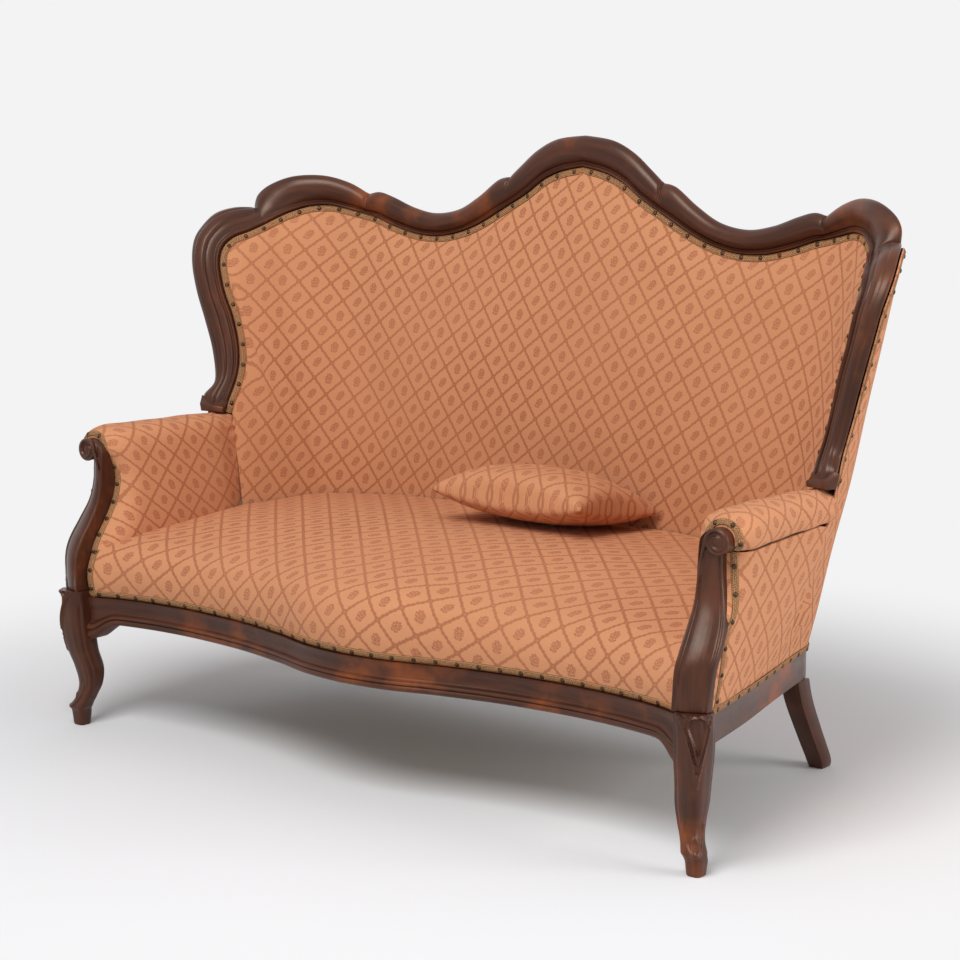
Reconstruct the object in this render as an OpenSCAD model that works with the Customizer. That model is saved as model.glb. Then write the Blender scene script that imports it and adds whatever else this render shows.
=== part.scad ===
// Three-seat cabriole sofa: show-wood frame with a serpentine crest and wings,
// sprung seat, stuffed back and arms, and one loose cushion.
// Origin: floor level, centred under the sofa. Front faces -Y, up is +Z. Millimetres.

/* [Overall] */
// Width across the widest points of the wings
width = 1674; // [1500:2:1900]
// Height of the crest above the floor
height = 1184; // [1060:2:1300]
// Depth from the bow of the front rail to the outside back
depth = 776; // [700:2:860]

/* [Seat frame] */
// Height of the front rail's lower edge above the floor
rail_bottom = 216; // [190:1:240]
// Height of the show face of the front rail
rail_face = 52; // [40:1:64]
// Thickness of the front rail from front to back
rail_thickness = 34; // [26:1:44]
// Drop of the side rails from front to back
side_rail_drop = 26; // [0:1:40]
// Thickness of the side and back rails
side_rail_thickness = 28; // [22:1:36]
// Height of the tacking lip that stands behind the seat border
tack_lip = 26; // [16:1:34]

/* [Show-wood back] */
// Depth of the back frame's timber from front to back
frame_depth = 44; // [34:1:54]

/* [Arms] */
// Height of the arm scroll's centre
scroll_height = 555; // [510:1:600]
// Radius of the arm scroll
scroll_radius = 27; // [20:1:34]
// Length of the arm scroll from front to back
scroll_length = 52; // [40:1:64]
// Height of the top of the arm pads
arm_pad_top = 596; // [570:1:620]

/* [Upholstery] */
// Thickness of the covering cloth with its calico
cover_thickness = 3; // [2:0.5:4]
// Height of the seat's crown above its back edge
seat_crown = 14; // [4:1:24]
// Fullness of the inside back
back_puff = 14; // [6:1:22]
// Width of the woven gimp braid
gimp_width = 13; // [10:1:16]
// Thickness of the gimp braid
gimp_thickness = 1.6; // [1:0.2:2.4]

/* [Loose cushion] */
// Length of the loose cushion, corner to corner along its long side
cushion_length = 372; // [330:4:420]
// Width of the loose cushion
cushion_width = 252; // [220:4:264]
// Thickness of the loose cushion at its crown
cushion_thickness = 116; // [90:2:130]

/* [Hidden] */

half_w = width / 2;
half_d = depth / 2;
wood = [0.30, 0.15, 0.10];
cloth = [0.84, 0.58, 0.44];
braid = [0.74, 0.55, 0.37];
hidden_wood = [0.72, 0.58, 0.40];
stuffing = [0.42, 0.34, 0.26];
gap = 0.3;
// Half width and half depth that the tables of places are drawn at, and the scale from them
drawn_half_w = 837;
drawn_half_d = 388;
wide = half_w / drawn_half_w;
deep = half_d / drawn_half_d;
// Place moved with the width and the depth, its height and other values kept
function fit(p) = [for (i = [0 : len(p) - 1]) i == 0 ? p[0] * wide : i == 1 ? p[1] * deep : p[i]];
function fit_all(list) = [for (p = list) fit(p)];
// Front of the back frame at the crest
back_clearance = 0.8;
crest_y = half_d - cover_thickness - back_clearance - frame_depth;

// General curves and lofts

function lerp(a, b, t) = a + (b - a) * t;
function unit(v) = v / norm(v);
function spline_point(p, s) =
  let (k = max(0, min(floor(s), len(p) - 2)), t = s - k,
       a = p[max(k - 1, 0)], b = p[k], c = p[k + 1], d = p[min(k + 2, len(p) - 1)])
  (2 * b + (c - a) * t + (2 * a - 5 * b + 4 * c - d) * t * t
    + (3 * b - a - 3 * c + d) * t * t * t) / 2;
function spline(p, steps) = [for (i = [0 : (len(p) - 1) * steps]) spline_point(p, i / steps)];
function mirrored(v) = [-v[0], v[1], v[2]];
function flipped(list) = [for (i = [len(list) - 1 : -1 : 0]) list[i]];

// Signed volume times six of a closed triangle mesh
function signed_volume(p, faces) =
  let (parts = [for (f = faces) p[f[0]] * cross(p[f[1]], p[f[2]])])
  parts * [for (x = parts) 1];
function faces_out(p, faces) = signed_volume(p, faces) < 0 ? faces : [for (f = faces) flipped(f)];

// Closed solid through rings of equal point counts
module loft(rings) {
  n = len(rings[0]);
  m = len(rings);
  points = [for (r = rings) each r];
  sides = [for (i = [0 : m - 2], j = [0 : n - 1])
    let (a = i * n + j, b = i * n + (j + 1) % n) each [[a, a + n, b + n], [a, b + n, b]]];
  start = [for (j = [1 : n - 2]) [0, j, j + 1]];
  end = [for (j = [1 : n - 2]) [(m - 1) * n, (m - 1) * n + j + 1, (m - 1) * n + j]];
  faces = concat(sides, start, end);
  polyhedron(points, faces_out(points, faces), convexity = 8);
}

// Closed solid between a front grid and a back grid of the same shape
module sheet(front, back) {
  rows = len(front);
  cols = len(front[0]);
  count = rows * cols;
  points = concat([for (r = front) each r], [for (r = back) each r]);
  face = [for (i = [0 : rows - 2], j = [0 : cols - 2])
    let (a = i * cols + j) each [[a, a + cols, a + cols + 1], [a, a + cols + 1, a + 1]]];
  rear = [for (f = face) [for (k = [2 : -1 : 0]) f[k] + count]];
  edge = concat([for (j = [0 : cols - 1]) j],
    [for (i = [1 : rows - 1]) i * cols + cols - 1],
    [for (j = [cols - 2 : -1 : 0]) (rows - 1) * cols + j],
    [for (i = [rows - 2 : -1 : 1]) i * cols]);
  wall = [for (k = [0 : len(edge) - 1])
    let (a = edge[k], b = edge[(k + 1) % len(edge)])
    each [[a, b, b + count], [a, b + count, a + count]]];
  faces = concat(face, rear, wall);
  polyhedron(points, faces_out(points, faces), convexity = 8);
}

// Unit normals of a grid, from its own rows and columns
function grid_normal(g, i, j) =
  let (down = g[min(i + 1, len(g) - 1)][j] - g[max(i - 1, 0)][j],
       along = g[i][min(j + 1, len(g[0]) - 1)] - g[i][max(j - 1, 0)])
  unit(cross(along, down));
function offset_grid(g, d) = [for (i = [0 : len(g) - 1])
  [for (j = [0 : len(g[0]) - 1]) g[i][j] + grid_normal(g, i, j) * d]];

// Show-wood back: outer and inner edge of the moulding from the crest centre to the
// foot of the right wing, as shares of half width, crest depth and height

crest_outer_shares = [[0, 1, 1], [0.08, 1, 0.993], [0.14, 1, 0.974], [0.19, 1, 0.947], [0.225, 1, 0.926]];
crest_inner_shares = [[0, 1, 0.949], [0.06, 1, 0.941], [0.115, 1, 0.926], [0.17, 1, 0.9],
  [0.222, 1, 0.88]];
shoulder_outer_shares = [[0.225, 1, 0.926], [0.262, 0.998, 0.92], [0.32, 0.996, 0.891],
  [0.385, 0.994, 0.866], [0.46, 0.99, 0.857], [0.53, 0.986, 0.865], [0.595, 0.98, 0.881],
  [0.64, 0.974, 0.889], [0.672, 0.965, 0.884]];
shoulder_inner_shares = [[0.222, 1, 0.88], [0.268, 1, 0.862], [0.315, 1, 0.845],
  [0.375, 1, 0.829], [0.445, 0.998, 0.8195], [0.515, 0.996, 0.821], [0.585, 0.993, 0.832],
  [0.64, 0.99, 0.845], [0.672, 0.985, 0.85]];
ear_outer_shares = [[0.672, 0.965, 0.884], [0.72, 0.926, 0.904], [0.78, 0.855, 0.917],
  [0.845, 0.761, 0.917], [0.9, 0.696, 0.904], [0.93, 0.655, 0.886], [0.937, 0.634, 0.863]];
ear_inner_shares = [[0.672, 0.985, 0.85], [0.715, 0.955, 0.857], [0.765, 0.895, 0.865],
  [0.808, 0.81, 0.864], [0.842, 0.72, 0.855], [0.864, 0.65, 0.845], [0.876, 0.577, 0.836]];
wing_outer_shares = [[0.937, 0.634, 0.863], [0.963, 0.522, 0.864], [0.985, 0.404, 0.854],
  [0.998, 0.304, 0.829], [1, 0.242, 0.804], [0.99, 0.2, 0.766], [0.972, 0.192, 0.717],
  [0.948, 0.204, 0.664], [0.926, 0.212, 0.611], [0.912, 0.19, 0.56], [0.921, 0.115, 0.535],
  [0.914, 0.11, 0.507]];
wing_inner_shares = [[0.876, 0.577, 0.836], [0.895, 0.484, 0.824], [0.912, 0.392, 0.815],
  [0.923, 0.33, 0.802], [0.926, 0.292, 0.785], [0.921, 0.268, 0.758], [0.906, 0.271, 0.713],
  [0.886, 0.289, 0.672], [0.868, 0.295, 0.617], [0.86, 0.26, 0.573], [0.858, 0.171, 0.527],
  [0.862, 0.153, 0.506]];
// Section of the moulding: share of the face width from the fabric side, and share of
// the timber's depth in front of the face
moulding_shares = [[0.16, -1], [0, -0.3], [0, -0.04], [0.05, 0.07], [0.13, 0.07], [0.18, -0.03],
  [0.3, 0.08], [0.5, 0.17], [0.7, 0.16], [0.87, 0.06], [0.98, -0.12], [1, -0.25],
  [0.87, -0.45], [0.6, -0.78], [0.42, -1]];

// The wings' feet keep their height over the arm pads, and the rest rises with the height
wing_foot_share = 0.507;
wing_foot_level = arm_pad_top + 4.288;
function level(share) = wing_foot_level
  + (share - wing_foot_share) / (1 - wing_foot_share) * (height - wing_foot_level);
function placed(shares) = [for (s = shares) [s[0] * half_w, s[1] * crest_y, level(s[2])]];
function joined(a, b) = concat(a, [for (i = [1 : len(b) - 1]) b[i]]);
moulding_steps = 2;
function edge_line(crest, shoulder, ear, wing) =
  joined(joined(joined(spline(placed(crest), moulding_steps), spline(placed(shoulder), moulding_steps)),
    spline(placed(ear), moulding_steps)), spline(placed(wing), moulding_steps));
outer_edge = edge_line(crest_outer_shares, shoulder_outer_shares, ear_outer_shares, wing_outer_shares);
inner_edge = edge_line(crest_inner_shares, shoulder_inner_shares, ear_inner_shares, wing_inner_shares);
crest_end = moulding_steps * (len(crest_outer_shares) - 1);
shoulder_end = crest_end + moulding_steps * (len(shoulder_outer_shares) - 1);
ear_end = shoulder_end + moulding_steps * (len(ear_outer_shares) - 1);
wing_end = ear_end + moulding_steps * (len(wing_outer_shares) - 1);

// Front-facing normal of the moulding's face at station k
function face_normal(k) =
  let (a = inner_edge[max(k - 1, 0)], b = inner_edge[min(k + 1, wing_end)],
       run = k == 0 ? [1, 0, 0] : unit(b - a))
  unit(cross(run, unit(outer_edge[k] - inner_edge[k])));
// The timber gets thinner from the shoulders round to the wings
function depth_share(k) = 1 - 0.25 * max(0, min(1, (k - shoulder_end) / (ear_end - shoulder_end)));
function moulding_point(k, s) = lerp(inner_edge[k], outer_edge[k], s[0])
  + face_normal(k) * s[1] * frame_depth * (s[1] < 0 ? depth_share(k) : 1);
function moulding_ring(k) = [for (s = moulding_shares) moulding_point(k, s)];
function right_rings(from, to) = [for (k = [from : to]) moulding_ring(k)];
function both_rings(to) = concat(
  [for (k = [to : -1 : 1]) [for (v = moulding_ring(k)) mirrored(v)]], right_rings(0, to));

module crest_centre() {
  color(wood) loft(both_rings(crest_end));
}
module crest_shoulder_right() {
  color(wood) loft(right_rings(crest_end, shoulder_end));
}
module crest_shoulder_left() {
  mirror([1, 0, 0]) crest_shoulder_right();
}
module crest_ear_right() {
  color(wood) loft(right_rings(shoulder_end, ear_end));
}
module crest_ear_left() {
  mirror([1, 0, 0]) crest_ear_right();
}
module wing_moulding_right() {
  color(wood) loft(right_rings(ear_end, wing_end));
}
module wing_moulding_left() {
  mirror([1, 0, 0]) wing_moulding_right();
}

// Front rail: serpentine in plan, with a cove and a double bead under it

rail_plan_shares = [[0, 1], [0.11, 0.975], [0.22, 0.905], [0.36, 0.838], [0.5, 0.805],
  [0.61, 0.8], [0.7, 0.815], [0.79, 0.85], [0.862, 0.9]];
rail_bead = 5;
rail_front = half_d - rail_bead;
rail_top = rail_bottom + rail_face;
rail_section_shares = [[0, 1], [-0.4, 0.9], [-1.2, 0.7], [-1.5, 0.5], [-1.1, 0.33], [0, 0.27],
  [1, 0.2], [0.6, 0.13], [0.9, 0.07], [0, 0]];
function rail_plan(x) = spline_point([for (s = rail_plan_shares) s[1] * rail_front],
  lookup(abs(x) / half_w, [for (i = [0 : len(rail_plan_shares) - 1]) [rail_plan_shares[i][0], i]]));
leg_place = fit([752, 339]);
leg_x = leg_place[0];
leg_y = leg_place[1];
knee_half = 29;
rail_end_x = leg_x - 1.13 * knee_half;
function rail_ring(x) = let (y = -rail_plan(x)) concat(
  [[x, y + rail_thickness, rail_bottom],
   [x, y + rail_thickness, rail_top + tack_lip],
   [x, y + rail_thickness / 2, rail_top + tack_lip],
   [x, y + rail_thickness / 2, rail_top]],
  [for (s = rail_section_shares) [x, y - s[0] * rail_bead, rail_bottom + s[1] * rail_face]]);
rail_rings = 32;
module front_rail() {
  color(wood) loft([for (i = [0 : rail_rings]) rail_ring(lerp(-rail_end_x, rail_end_x, i / rail_rings))]);
}

// Front legs: cabriole, curving in at the ankle and out at the toe

leg_rise = 14;
leg_top = rail_top + leg_rise;
// Height share, outward shift, backward shift and half section, shares of the knee size
leg_shares = [[0, 0, 0, 0.42], [0.04, 0, 0, 0.48], [0.09, 0.0, 0, 0.6], [0.14, -0.1, -0.1, 0.68],
  [0.2, -0.35, 0.1, 0.64], [0.3, -0.6, 0.36, 0.65], [0.42, -0.56, 0.32, 0.76], [0.56, -0.3, 0, 0.86],
  [0.72, -0.14, -0.2, 0.95], [0.86, -0.1, -0.25, 1], [1, -0.12, -0.3, 0.98]];
section_points = 12;
function leg_section(c, half, z) = [for (a = [0 : section_points - 1])
  let (t = 360 * (a + 0.5) / section_points, q = pow(pow(abs(cos(t)), 4) + pow(abs(sin(t)), 4), 0.25))
  [c[0] + half * cos(t) / q, c[1] + half * sin(t) / q, z]];
leg_table = spline(leg_shares, 2);
module front_leg_right() {
  color(wood) loft([for (s = leg_table)
    leg_section([leg_x + s[1] * knee_half, -leg_y + s[2] * knee_half], s[3] * knee_half, s[0] * leg_top)]);
}
module front_leg_left() {
  mirror([1, 0, 0]) front_leg_right();
}

// Arm posts: an S sweep up to an outward scroll

// Height share, front line and half width, as shares of post_front and post_half
post_shares = [[0, 1, 1], [0.1, 1, 1.05], [0.25, 0.99, 1.1], [0.36, 0.955, 1.08],
  [0.5, 0.885, 1], [0.63, 0.815, 0.95], [0.76, 0.785, 0.93], [0.88, 0.785, 0.92], [1, 0.79, 0.8]];
post_lead = 23;
post_front = leg_y + post_lead;
post_half = 28;
post_depth = 42;
post_foot = leg_top + gap;
post_table = spline(post_shares, 2);
function post_front_at(z) = -post_front * lookup((z - post_foot) / (scroll_height - post_foot),
  [for (s = post_table) [s[0], s[1]]]);
function post_back_at(z) = post_front_at(min(z, scroll_height)) + post_depth;
scroll_x = leg_x + 10;
scroll_front = post_front_at(scroll_height) - 12;
module arm_post_right() {
  color(wood) union() {
    loft([for (s = post_table)
      let (half = post_half * s[2], y = -post_front * s[1] + post_depth / 2,
           z = lerp(post_foot, scroll_height, s[0]))
      [for (a = [0 : section_points - 1])
        let (t = 360 * (a + 0.5) / section_points,
             q = pow(pow(abs(cos(t)), 4) + pow(abs(sin(t)), 4), 0.25))
        [leg_x + half * cos(t) / q, y + post_depth / 2 * sin(t) / q, z]]]);
    translate([scroll_x, scroll_front, scroll_height]) rotate([-90, 0, 0])
      cylinder(r = scroll_radius, h = scroll_length, $fn = 48);
  }
}
module arm_post_left() {
  mirror([1, 0, 0]) arm_post_right();
}

// Side and back rails, corner stiles and back legs

side_plan = fit_all([[734, -316], [690, -130], [640, 60], [600, 210], [586, 262], [566, 294], [536, 306]]);
side_front = side_plan[0];
back_corner = side_plan[len(side_plan) - 1];
side_run = fit([0, 594])[1];
function side_drop(y) = side_rail_drop * max(0, min(1, (y - side_front[1]) / side_run));
function side_top(y) = rail_top - side_drop(y);
function side_inward(i) = let (run = unit(side_plan[min(i + 1, len(side_plan) - 1)] - side_plan[max(i - 1, 0)]))
  [run[1], -run[0]] * -1;
module side_rail_right() {
  color(wood) loft([for (i = [0 : len(side_plan) - 1])
    let (p = side_plan[i], last = i == len(side_plan) - 1,
         q = p + (last ? [0, -1] : side_inward(i)) * side_rail_thickness + [0, i == 0 ? 24 : 0],
         z = side_top(p[1]) - rail_face)
    [[p[0], p[1], z], [p[0], p[1], z + rail_face], [q[0], q[1], z + rail_face], [q[0], q[1], z]]]);
}
module side_rail_left() {
  mirror([1, 0, 0]) side_rail_right();
}
back_rail_half = back_corner[0] - gap;
back_rail_y = back_corner[1] - side_rail_thickness;
back_rail_top = side_top(back_corner[1]);
module back_rail() {
  color(hidden_wood) translate([-back_rail_half, back_rail_y, back_rail_top - rail_face])
    cube([2 * back_rail_half, side_rail_thickness, rail_face]);
}
// Centre x, centre y, height share and half section of the back leg
back_leg_table = fit_all([[575, 341, 0, 13], [576, 334, 0.1, 15], [574, 302, 0.4, 16],
  [571, 268, 0.75, 17], [570, 252, 1, 18]]);
module back_leg_right() {
  color(wood) loft([for (s = back_leg_table)
    let (z = s[2] * (back_rail_top - rail_face - gap), h = s[3])
    [[s[0] - h, s[1] - h, z], [s[0] + h, s[1] - h, z], [s[0] + h, s[1] + h, z], [s[0] - h, s[1] + h, z]]]);
}
module back_leg_left() {
  mirror([1, 0, 0]) back_leg_right();
}

// Inside back

// Line where the inside back meets the seat, its height over the front rail's top
back_foot_places = fit_all([[0, 290, 162], [165, 290, 161], [330, 287, 158], [500, 272, 152], [600, 225, 146],
  [648, 135, 141], [676, 62, 136]]);
back_foot = [for (p = back_foot_places) p + [0, 0, rail_top]];
tuck = 25;
inside_row_shares = [0, 0.14, 0.33, 0.55, 0.78, 1];
// The cover's lines gather at the wings' feet and hollow out beside the wings' edges
wing_gather = 3.5;
wing_hollow = 26;
wing_way = unit([-8, 10, -3]);
wing_turn = ear_end + 6;
function foot_station(k) = k <= crest_end ? k / crest_end
  : k <= shoulder_end ? 1 + 2 * (k - crest_end) / (shoulder_end - crest_end)
  : k <= ear_end ? 3 + (k - shoulder_end) / (ear_end - shoulder_end)
  : 4 + 2 * pow((k - ear_end) / (wing_end - ear_end), wing_gather);
function back_foot_at(s) = spline_point(back_foot, s);
crest_inset = 3;
wing_inset = 8;
edge_sink = 5;
function edge_inset(k) = lerp(crest_inset, wing_inset, sin(180 * max(0, min(1, (k - ear_end) / (wing_end - ear_end)))));
function inside_edge(k) = inner_edge[k] - unit(outer_edge[k] - inner_edge[k]) * edge_inset(k)
  - face_normal(k) * edge_sink;
function inside_point(k, v) =
  let (top = inside_edge(k), foot = back_foot_at(foot_station(k)) - [0, 0, tuck],
       wing = max(0, (k - ear_end) / (wing_end - ear_end)),
       puff = back_puff * (1 - pow(wing, 4)) * (pow(sin(90 * min(1, v / 0.16)), 0.8) * (1 - v) + sin(180 * v) * 0.9))
  lerp(top, foot, v) + unit(face_normal(k) + [0, -1, 0]) * puff
    + wing_way * wing_hollow * sin(180 * wing) * sin(180 * sqrt(v));
inside_cols = [for (k = [0 : 2 : wing_end]) k];
// Point a gimp's width in from an edge, square to it, on the surface that leads to a goal
function edge_step(p, before, after, goal) =
  let (run = unit(after - before), way = goal - p) p + unit(way - run * (way * run)) * (gimp_width + 1);
function inside_column(k) =
  let (first = (gimp_width + 1) / norm(inside_point(k, 1) - inside_point(k, 0)),
       step = k == 0 ? inside_point(0, first)
         : edge_step(inside_edge(k), inside_edge(k - 1), inside_edge(min(k + 1, wing_end)),
           k > wing_turn ? inside_edge(k) + wing_way : inside_point(k, 0.2)),
       shift = step - inside_point(k, first))
  concat([inside_point(k, 0)], [for (v = inside_row_shares) inside_point(k, lerp(first, 1, v)) + shift * (1 - v)]);
inside_columns = [for (k = inside_cols) inside_column(k)];
function part_of(row, from, to) = [for (j = [from : to]) row[j]];
function rows_of(columns) = [for (i = [0 : len(columns[0]) - 1]) [for (c = columns) c[i]]];
function both_halves(right) = [for (r = right)
  concat([for (j = [len(r) - 1 : -1 : 1]) mirrored(r[j])], r)];
inside_grid = both_halves(rows_of(inside_columns));
module inside_back_cover() {
  color(cloth) sheet(inside_grid, offset_grid(inside_grid, cover_thickness));
}
stuffing_clearance = 1;
stuffing_rows = [2, 4, len(inside_grid) - 1];
// The stuffing thins out towards the wings and the foot
function stuffing_depth(i, j, cols) = lerp(i == 2 ? 10 : 14, 2, pow(abs(2 * j / (cols - 1) - 1), 4));
module inside_back_stuffing() {
  middle = (len(inside_grid[0]) - 1) / 2;
  front = [for (r = offset_grid(inside_grid, cover_thickness + stuffing_clearance))
    part_of(r, middle - ear_end / 2 - 2, middle + ear_end / 2 + 2)];
  cols = len(front[0]);
  color(stuffing) sheet([for (i = stuffing_rows) front[i]],
    [for (i = [0 : 2]) [for (j = [0 : cols - 1]) front[stuffing_rows[i]][j]
      + grid_normal(front, stuffing_rows[i], j) * stuffing_depth(i, j, cols)]]);
}

// Seat

seat_half_inset = 34;
seat_side_inset = 78;
seat_half = leg_x - seat_half_inset;
seat_side = leg_x - seat_side_inset;
seat_cols = 14;
// Setback from the rail's face and rise above the rail's top for the front border
border_table = [[9, 1.5], [5, 15], [0, 42], [2, 72], [13, 100], [42, 121]];
seat_row_shares = [0.16, 0.34, 0.55, 0.76, 0.93, 1];
seat_side_clearance = 4;
function seat_back_point(u) = back_foot_at(6 * pow(u, 0.85)) - [seat_side_clearance * u, seat_side_clearance + 3, 0];
function seat_front_point(u, row) = let (x = u * (row[1] > 110 ? seat_side : row[1] > 90 ? seat_half - 5 : seat_half))
  [x, -rail_plan(x) + row[0], rail_top + row[1] - 14 * pow(u, 4) * row[1] / 121];
function seat_point(u, v) =
  let (front = seat_front_point(u, border_table[len(border_table) - 1]), back = seat_back_point(u))
  lerp(front, back, v) + [0, 0, 1] * (seat_crown + 12) * (1 - pow(u, 4)) * sin(180 * pow(v, 0.8));
seat_columns = [for (j = [0 : seat_cols]) let (u = j / seat_cols)
  concat([for (row = border_table) seat_front_point(u, row)], [for (v = seat_row_shares) seat_point(u, v)])];
seat_grid = both_halves(rows_of(seat_columns));
module seat_cover() {
  color(cloth) sheet(seat_grid, offset_grid(seat_grid, -cover_thickness));
}
hessian_front = rail_top + tack_lip + gap;
hessian_level = fit([0, -268])[1];
hessian_clearance = 4;
function hessian_z(y) = lerp(hessian_front, back_rail_top + gap,
  max(0, min(1, (y - hessian_level) / (back_rail_y - hessian_level))));
hessian_thickness = 1.2;
function side_x(y) = lookup(y, [for (p = side_plan) [p[1], p[0]]]);
function every_second(row) = [for (j = [0 : 2 : len(row) - 1]) row[j]];
stuffing_inset = 38;
stuffing_setback = 8;
stuffing_setbacks = [13, 8, 2];
stuffing_fade = fit([0, 150])[1];
module seat_stuffing() {
  above = [for (r = offset_grid([for (i = [3 : len(seat_grid) - 1]) every_second(seat_grid[i])],
    -cover_thickness - stuffing_clearance)) [for (p = r) let (front = max(0, min(1, -p[1] / stuffing_fade - 1)))
    [p[0] * 0.965, p[1] + front * (rail_plan(p[0]) - rail_plan(p[0] * 0.965) + stuffing_setback), p[2]]]];
  base = [for (i = [0 : len(above) - 1]) [for (p = above[i])
    let (x = min(abs(p[0]), side_x(p[1]) - stuffing_inset), y = p[1] + (i < 3 ? stuffing_setbacks[i] : 0))
    [sign(p[0]) * x, y, hessian_z(y) + hessian_thickness + hessian_clearance]]];
  color(stuffing) sheet(above, base);
}

// Arm pads: inside arm and roll over the arm rail in one stuffed piece

side_gap = 1;
pad_back = fit([0, 44])[1];
// Outer skin of the section: place, draw towards the post, and taper towards the back
pad_skin = [[790, 541, 0, 1], [801, 547, 0, 1], [806, 561, 0, 1], [801, 579, 0, 1],
  [782, 592, 0, 0.8], [755, 596, 0, 0.5], [726, 594, 0.2, 0.25], [703, 585, 0.6, 0.1],
  [692, 566, 0.8, 0.05], [688, 536, 0.9, 0.05], [684, 490, 1, 0.05], [681, 454, 1.06, 0.05],
  [679, 425, 1.1, 0.05], [677, 400, 1.14, 0.05], [675, 365, 1.2, 0.05]];
// Inner skin, point for point behind the outer one
pad_lining = [[784, 541, 0, 1], [779, 543, 0, 1], [772, 544, 0, 0.9], [764, 544, 0, 0.8],
  [755, 544, 0, 0.6], [744, 544, 0.1, 0.4], [732, 543, 0.25, 0.25], [720, 541, 0.4, 0.1],
  [709, 539, 0.6, 0.1], [700, 531, 0.8, 0.05], [694, 490, 0.9, 0.05], [692, 454, 0.92, 0.05],
  [690, 425, 0.94, 0.05], [687, 400, 0.97, 0.05], [684, 365, 1, 0.05]];
pad_draw = 40;
pad_taper = 34;
pad_fill = 55.4;
arm_rail_top = arm_pad_top - pad_fill;
pad_length = fit([0, 290])[1];
pad_drawn_top = 596;
pad_band = gimp_width / pad_length;
pad_stations = [0, pad_band, 0.13, 0.28, 0.6, 1];
function pad_front(z) = max(post_back_at(z), z > scroll_height - scroll_radius ? scroll_front + scroll_length : -half_d) + 2 * side_gap;
function pad_row(t, section) = [for (p = section)
  let (draw = pad_draw * p[2] * pow(1 - min(1, t / 0.28), 2), sink = p[1] > 560 ? 6 * pow(1 - min(1, t / 0.13), 2) : 0)
  [p[0] * wide + draw - pad_taper * p[3] * t, lerp(pad_front(p[1]), pad_back, t), p[1] - sink + arm_pad_top - pad_drawn_top]];
module arm_pad_right() {
  color(cloth) sheet([for (t = pad_stations) pad_row(t, pad_skin)], [for (t = pad_stations) pad_row(t, pad_lining)]);
}
module arm_pad_left() {
  mirror([1, 0, 0]) arm_pad_right();
}

// Outside covers

seam_drop = 58;
arm_seam = [for (p = fit_all([[788, -246], [780, -160], [771, -70], [763, 10], [760, 46]]))
  [p[0], p[1], arm_pad_top - seam_drop]];
function wing_back_edge(k) = moulding_point(k, [0.99, -0.53]);
function timber_back(k, share, off) = moulding_point(k, [share, -1]) - face_normal(k) * off;
side_cover_off = cover_thickness + 3;
back_cover_off = cover_thickness + back_clearance;
side_tops = concat(
  [for (p = arm_seam) p],
  [for (k = [wing_end : -2 : ear_end]) wing_back_edge(k)],
  [for (k = [ear_end - 2 : -2 : shoulder_end]) timber_back(k, 0.38, side_cover_off)]);
wing_cols = floor((wing_end - ear_end) / 2);
seam_cols = len(arm_seam);
ear_col = seam_cols + wing_cols + 1;
function side_station(i) = i < seam_cols ? i * 0.48
  : i < ear_col ? lerp(2.05, 4.3, (i - seam_cols) / wing_cols)
  : lerp(4.3, 6, (i - ear_col + 1) / (len(side_tops) - ear_col));
function side_foot(s) = let (p = spline_point(side_plan, s), k = min(floor(s), len(side_plan) - 2),
    out = lerp(side_inward(k), side_inward(k + 1), s - k))
  [p[0], p[1], side_top(p[1]) + gap] - [out[0], out[1], 0] * side_gap;
side_rows = [0, 0.25, 0.5, 0.75, 1];
side_bulge = 8;
function beside_post(i, p) = i == 0 ? [p[0], max(side_front[1] + side_gap, post_back_at(p[2]) + side_gap), p[2]] : p;
function side_column(i) =
  let (top = side_tops[i], foot = side_foot(side_station(i)), share = (gimp_width + 1) / norm(foot - top),
       second = i < seam_cols + 1 || i >= len(side_tops) - 1 ? lerp(top, foot, share)
         : i < ear_col ? edge_step(top, side_tops[i - 1], side_tops[i + 1], foot)
         : timber_back(ear_end - 2 * (i - ear_col + 1), 0.16, side_cover_off))
  concat([top], [for (v = side_rows) beside_post(i, lerp(second, lerp(top, foot, 1 - share), v)
    + [side_bulge * sin(180 * v) * (i < ear_col ? 1 : 0), 0, 0])], [beside_post(i, foot)]);
side_grid = rows_of([for (i = [0 : len(side_tops) - 1]) side_column(i)]);
module outside_side_right() {
  color(cloth) sheet(side_grid, offset_grid(side_grid, cover_thickness));
}
module outside_side_left() {
  mirror([1, 0, 0]) outside_side_right();
}
back_cols = [for (k = [0 : 2 : shoulder_end]) k];
function outside_back_column(k) =
  let (aside = [side_gap * k / shoulder_end, 0, 0], top = timber_back(k, 0.38, back_cover_off) - aside,
       second = timber_back(k, 0.16, back_cover_off) - aside,
       foot = [inner_edge[k][0] / inner_edge[shoulder_end][0] * (back_rail_half - side_gap),
         back_corner[1] + cover_thickness, back_rail_top + gap])
  [top, second, lerp(second, foot, 0.5), foot];
outside_back_grid = both_halves(rows_of([for (k = back_cols) outside_back_column(k)]));
module outside_back_cover() {
  color(cloth) sheet(outside_back_grid, [for (r = outside_back_grid) [for (p = r) p - [0, cover_thickness, 0]]]);
}

// Loose cushion: crowned pillow with drawn-in sides and knife edges

cushion_at = fit([48, 158]);
cushion_turn = -1;
cushion_tilt = 9;
cushion_n = 9;
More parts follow.
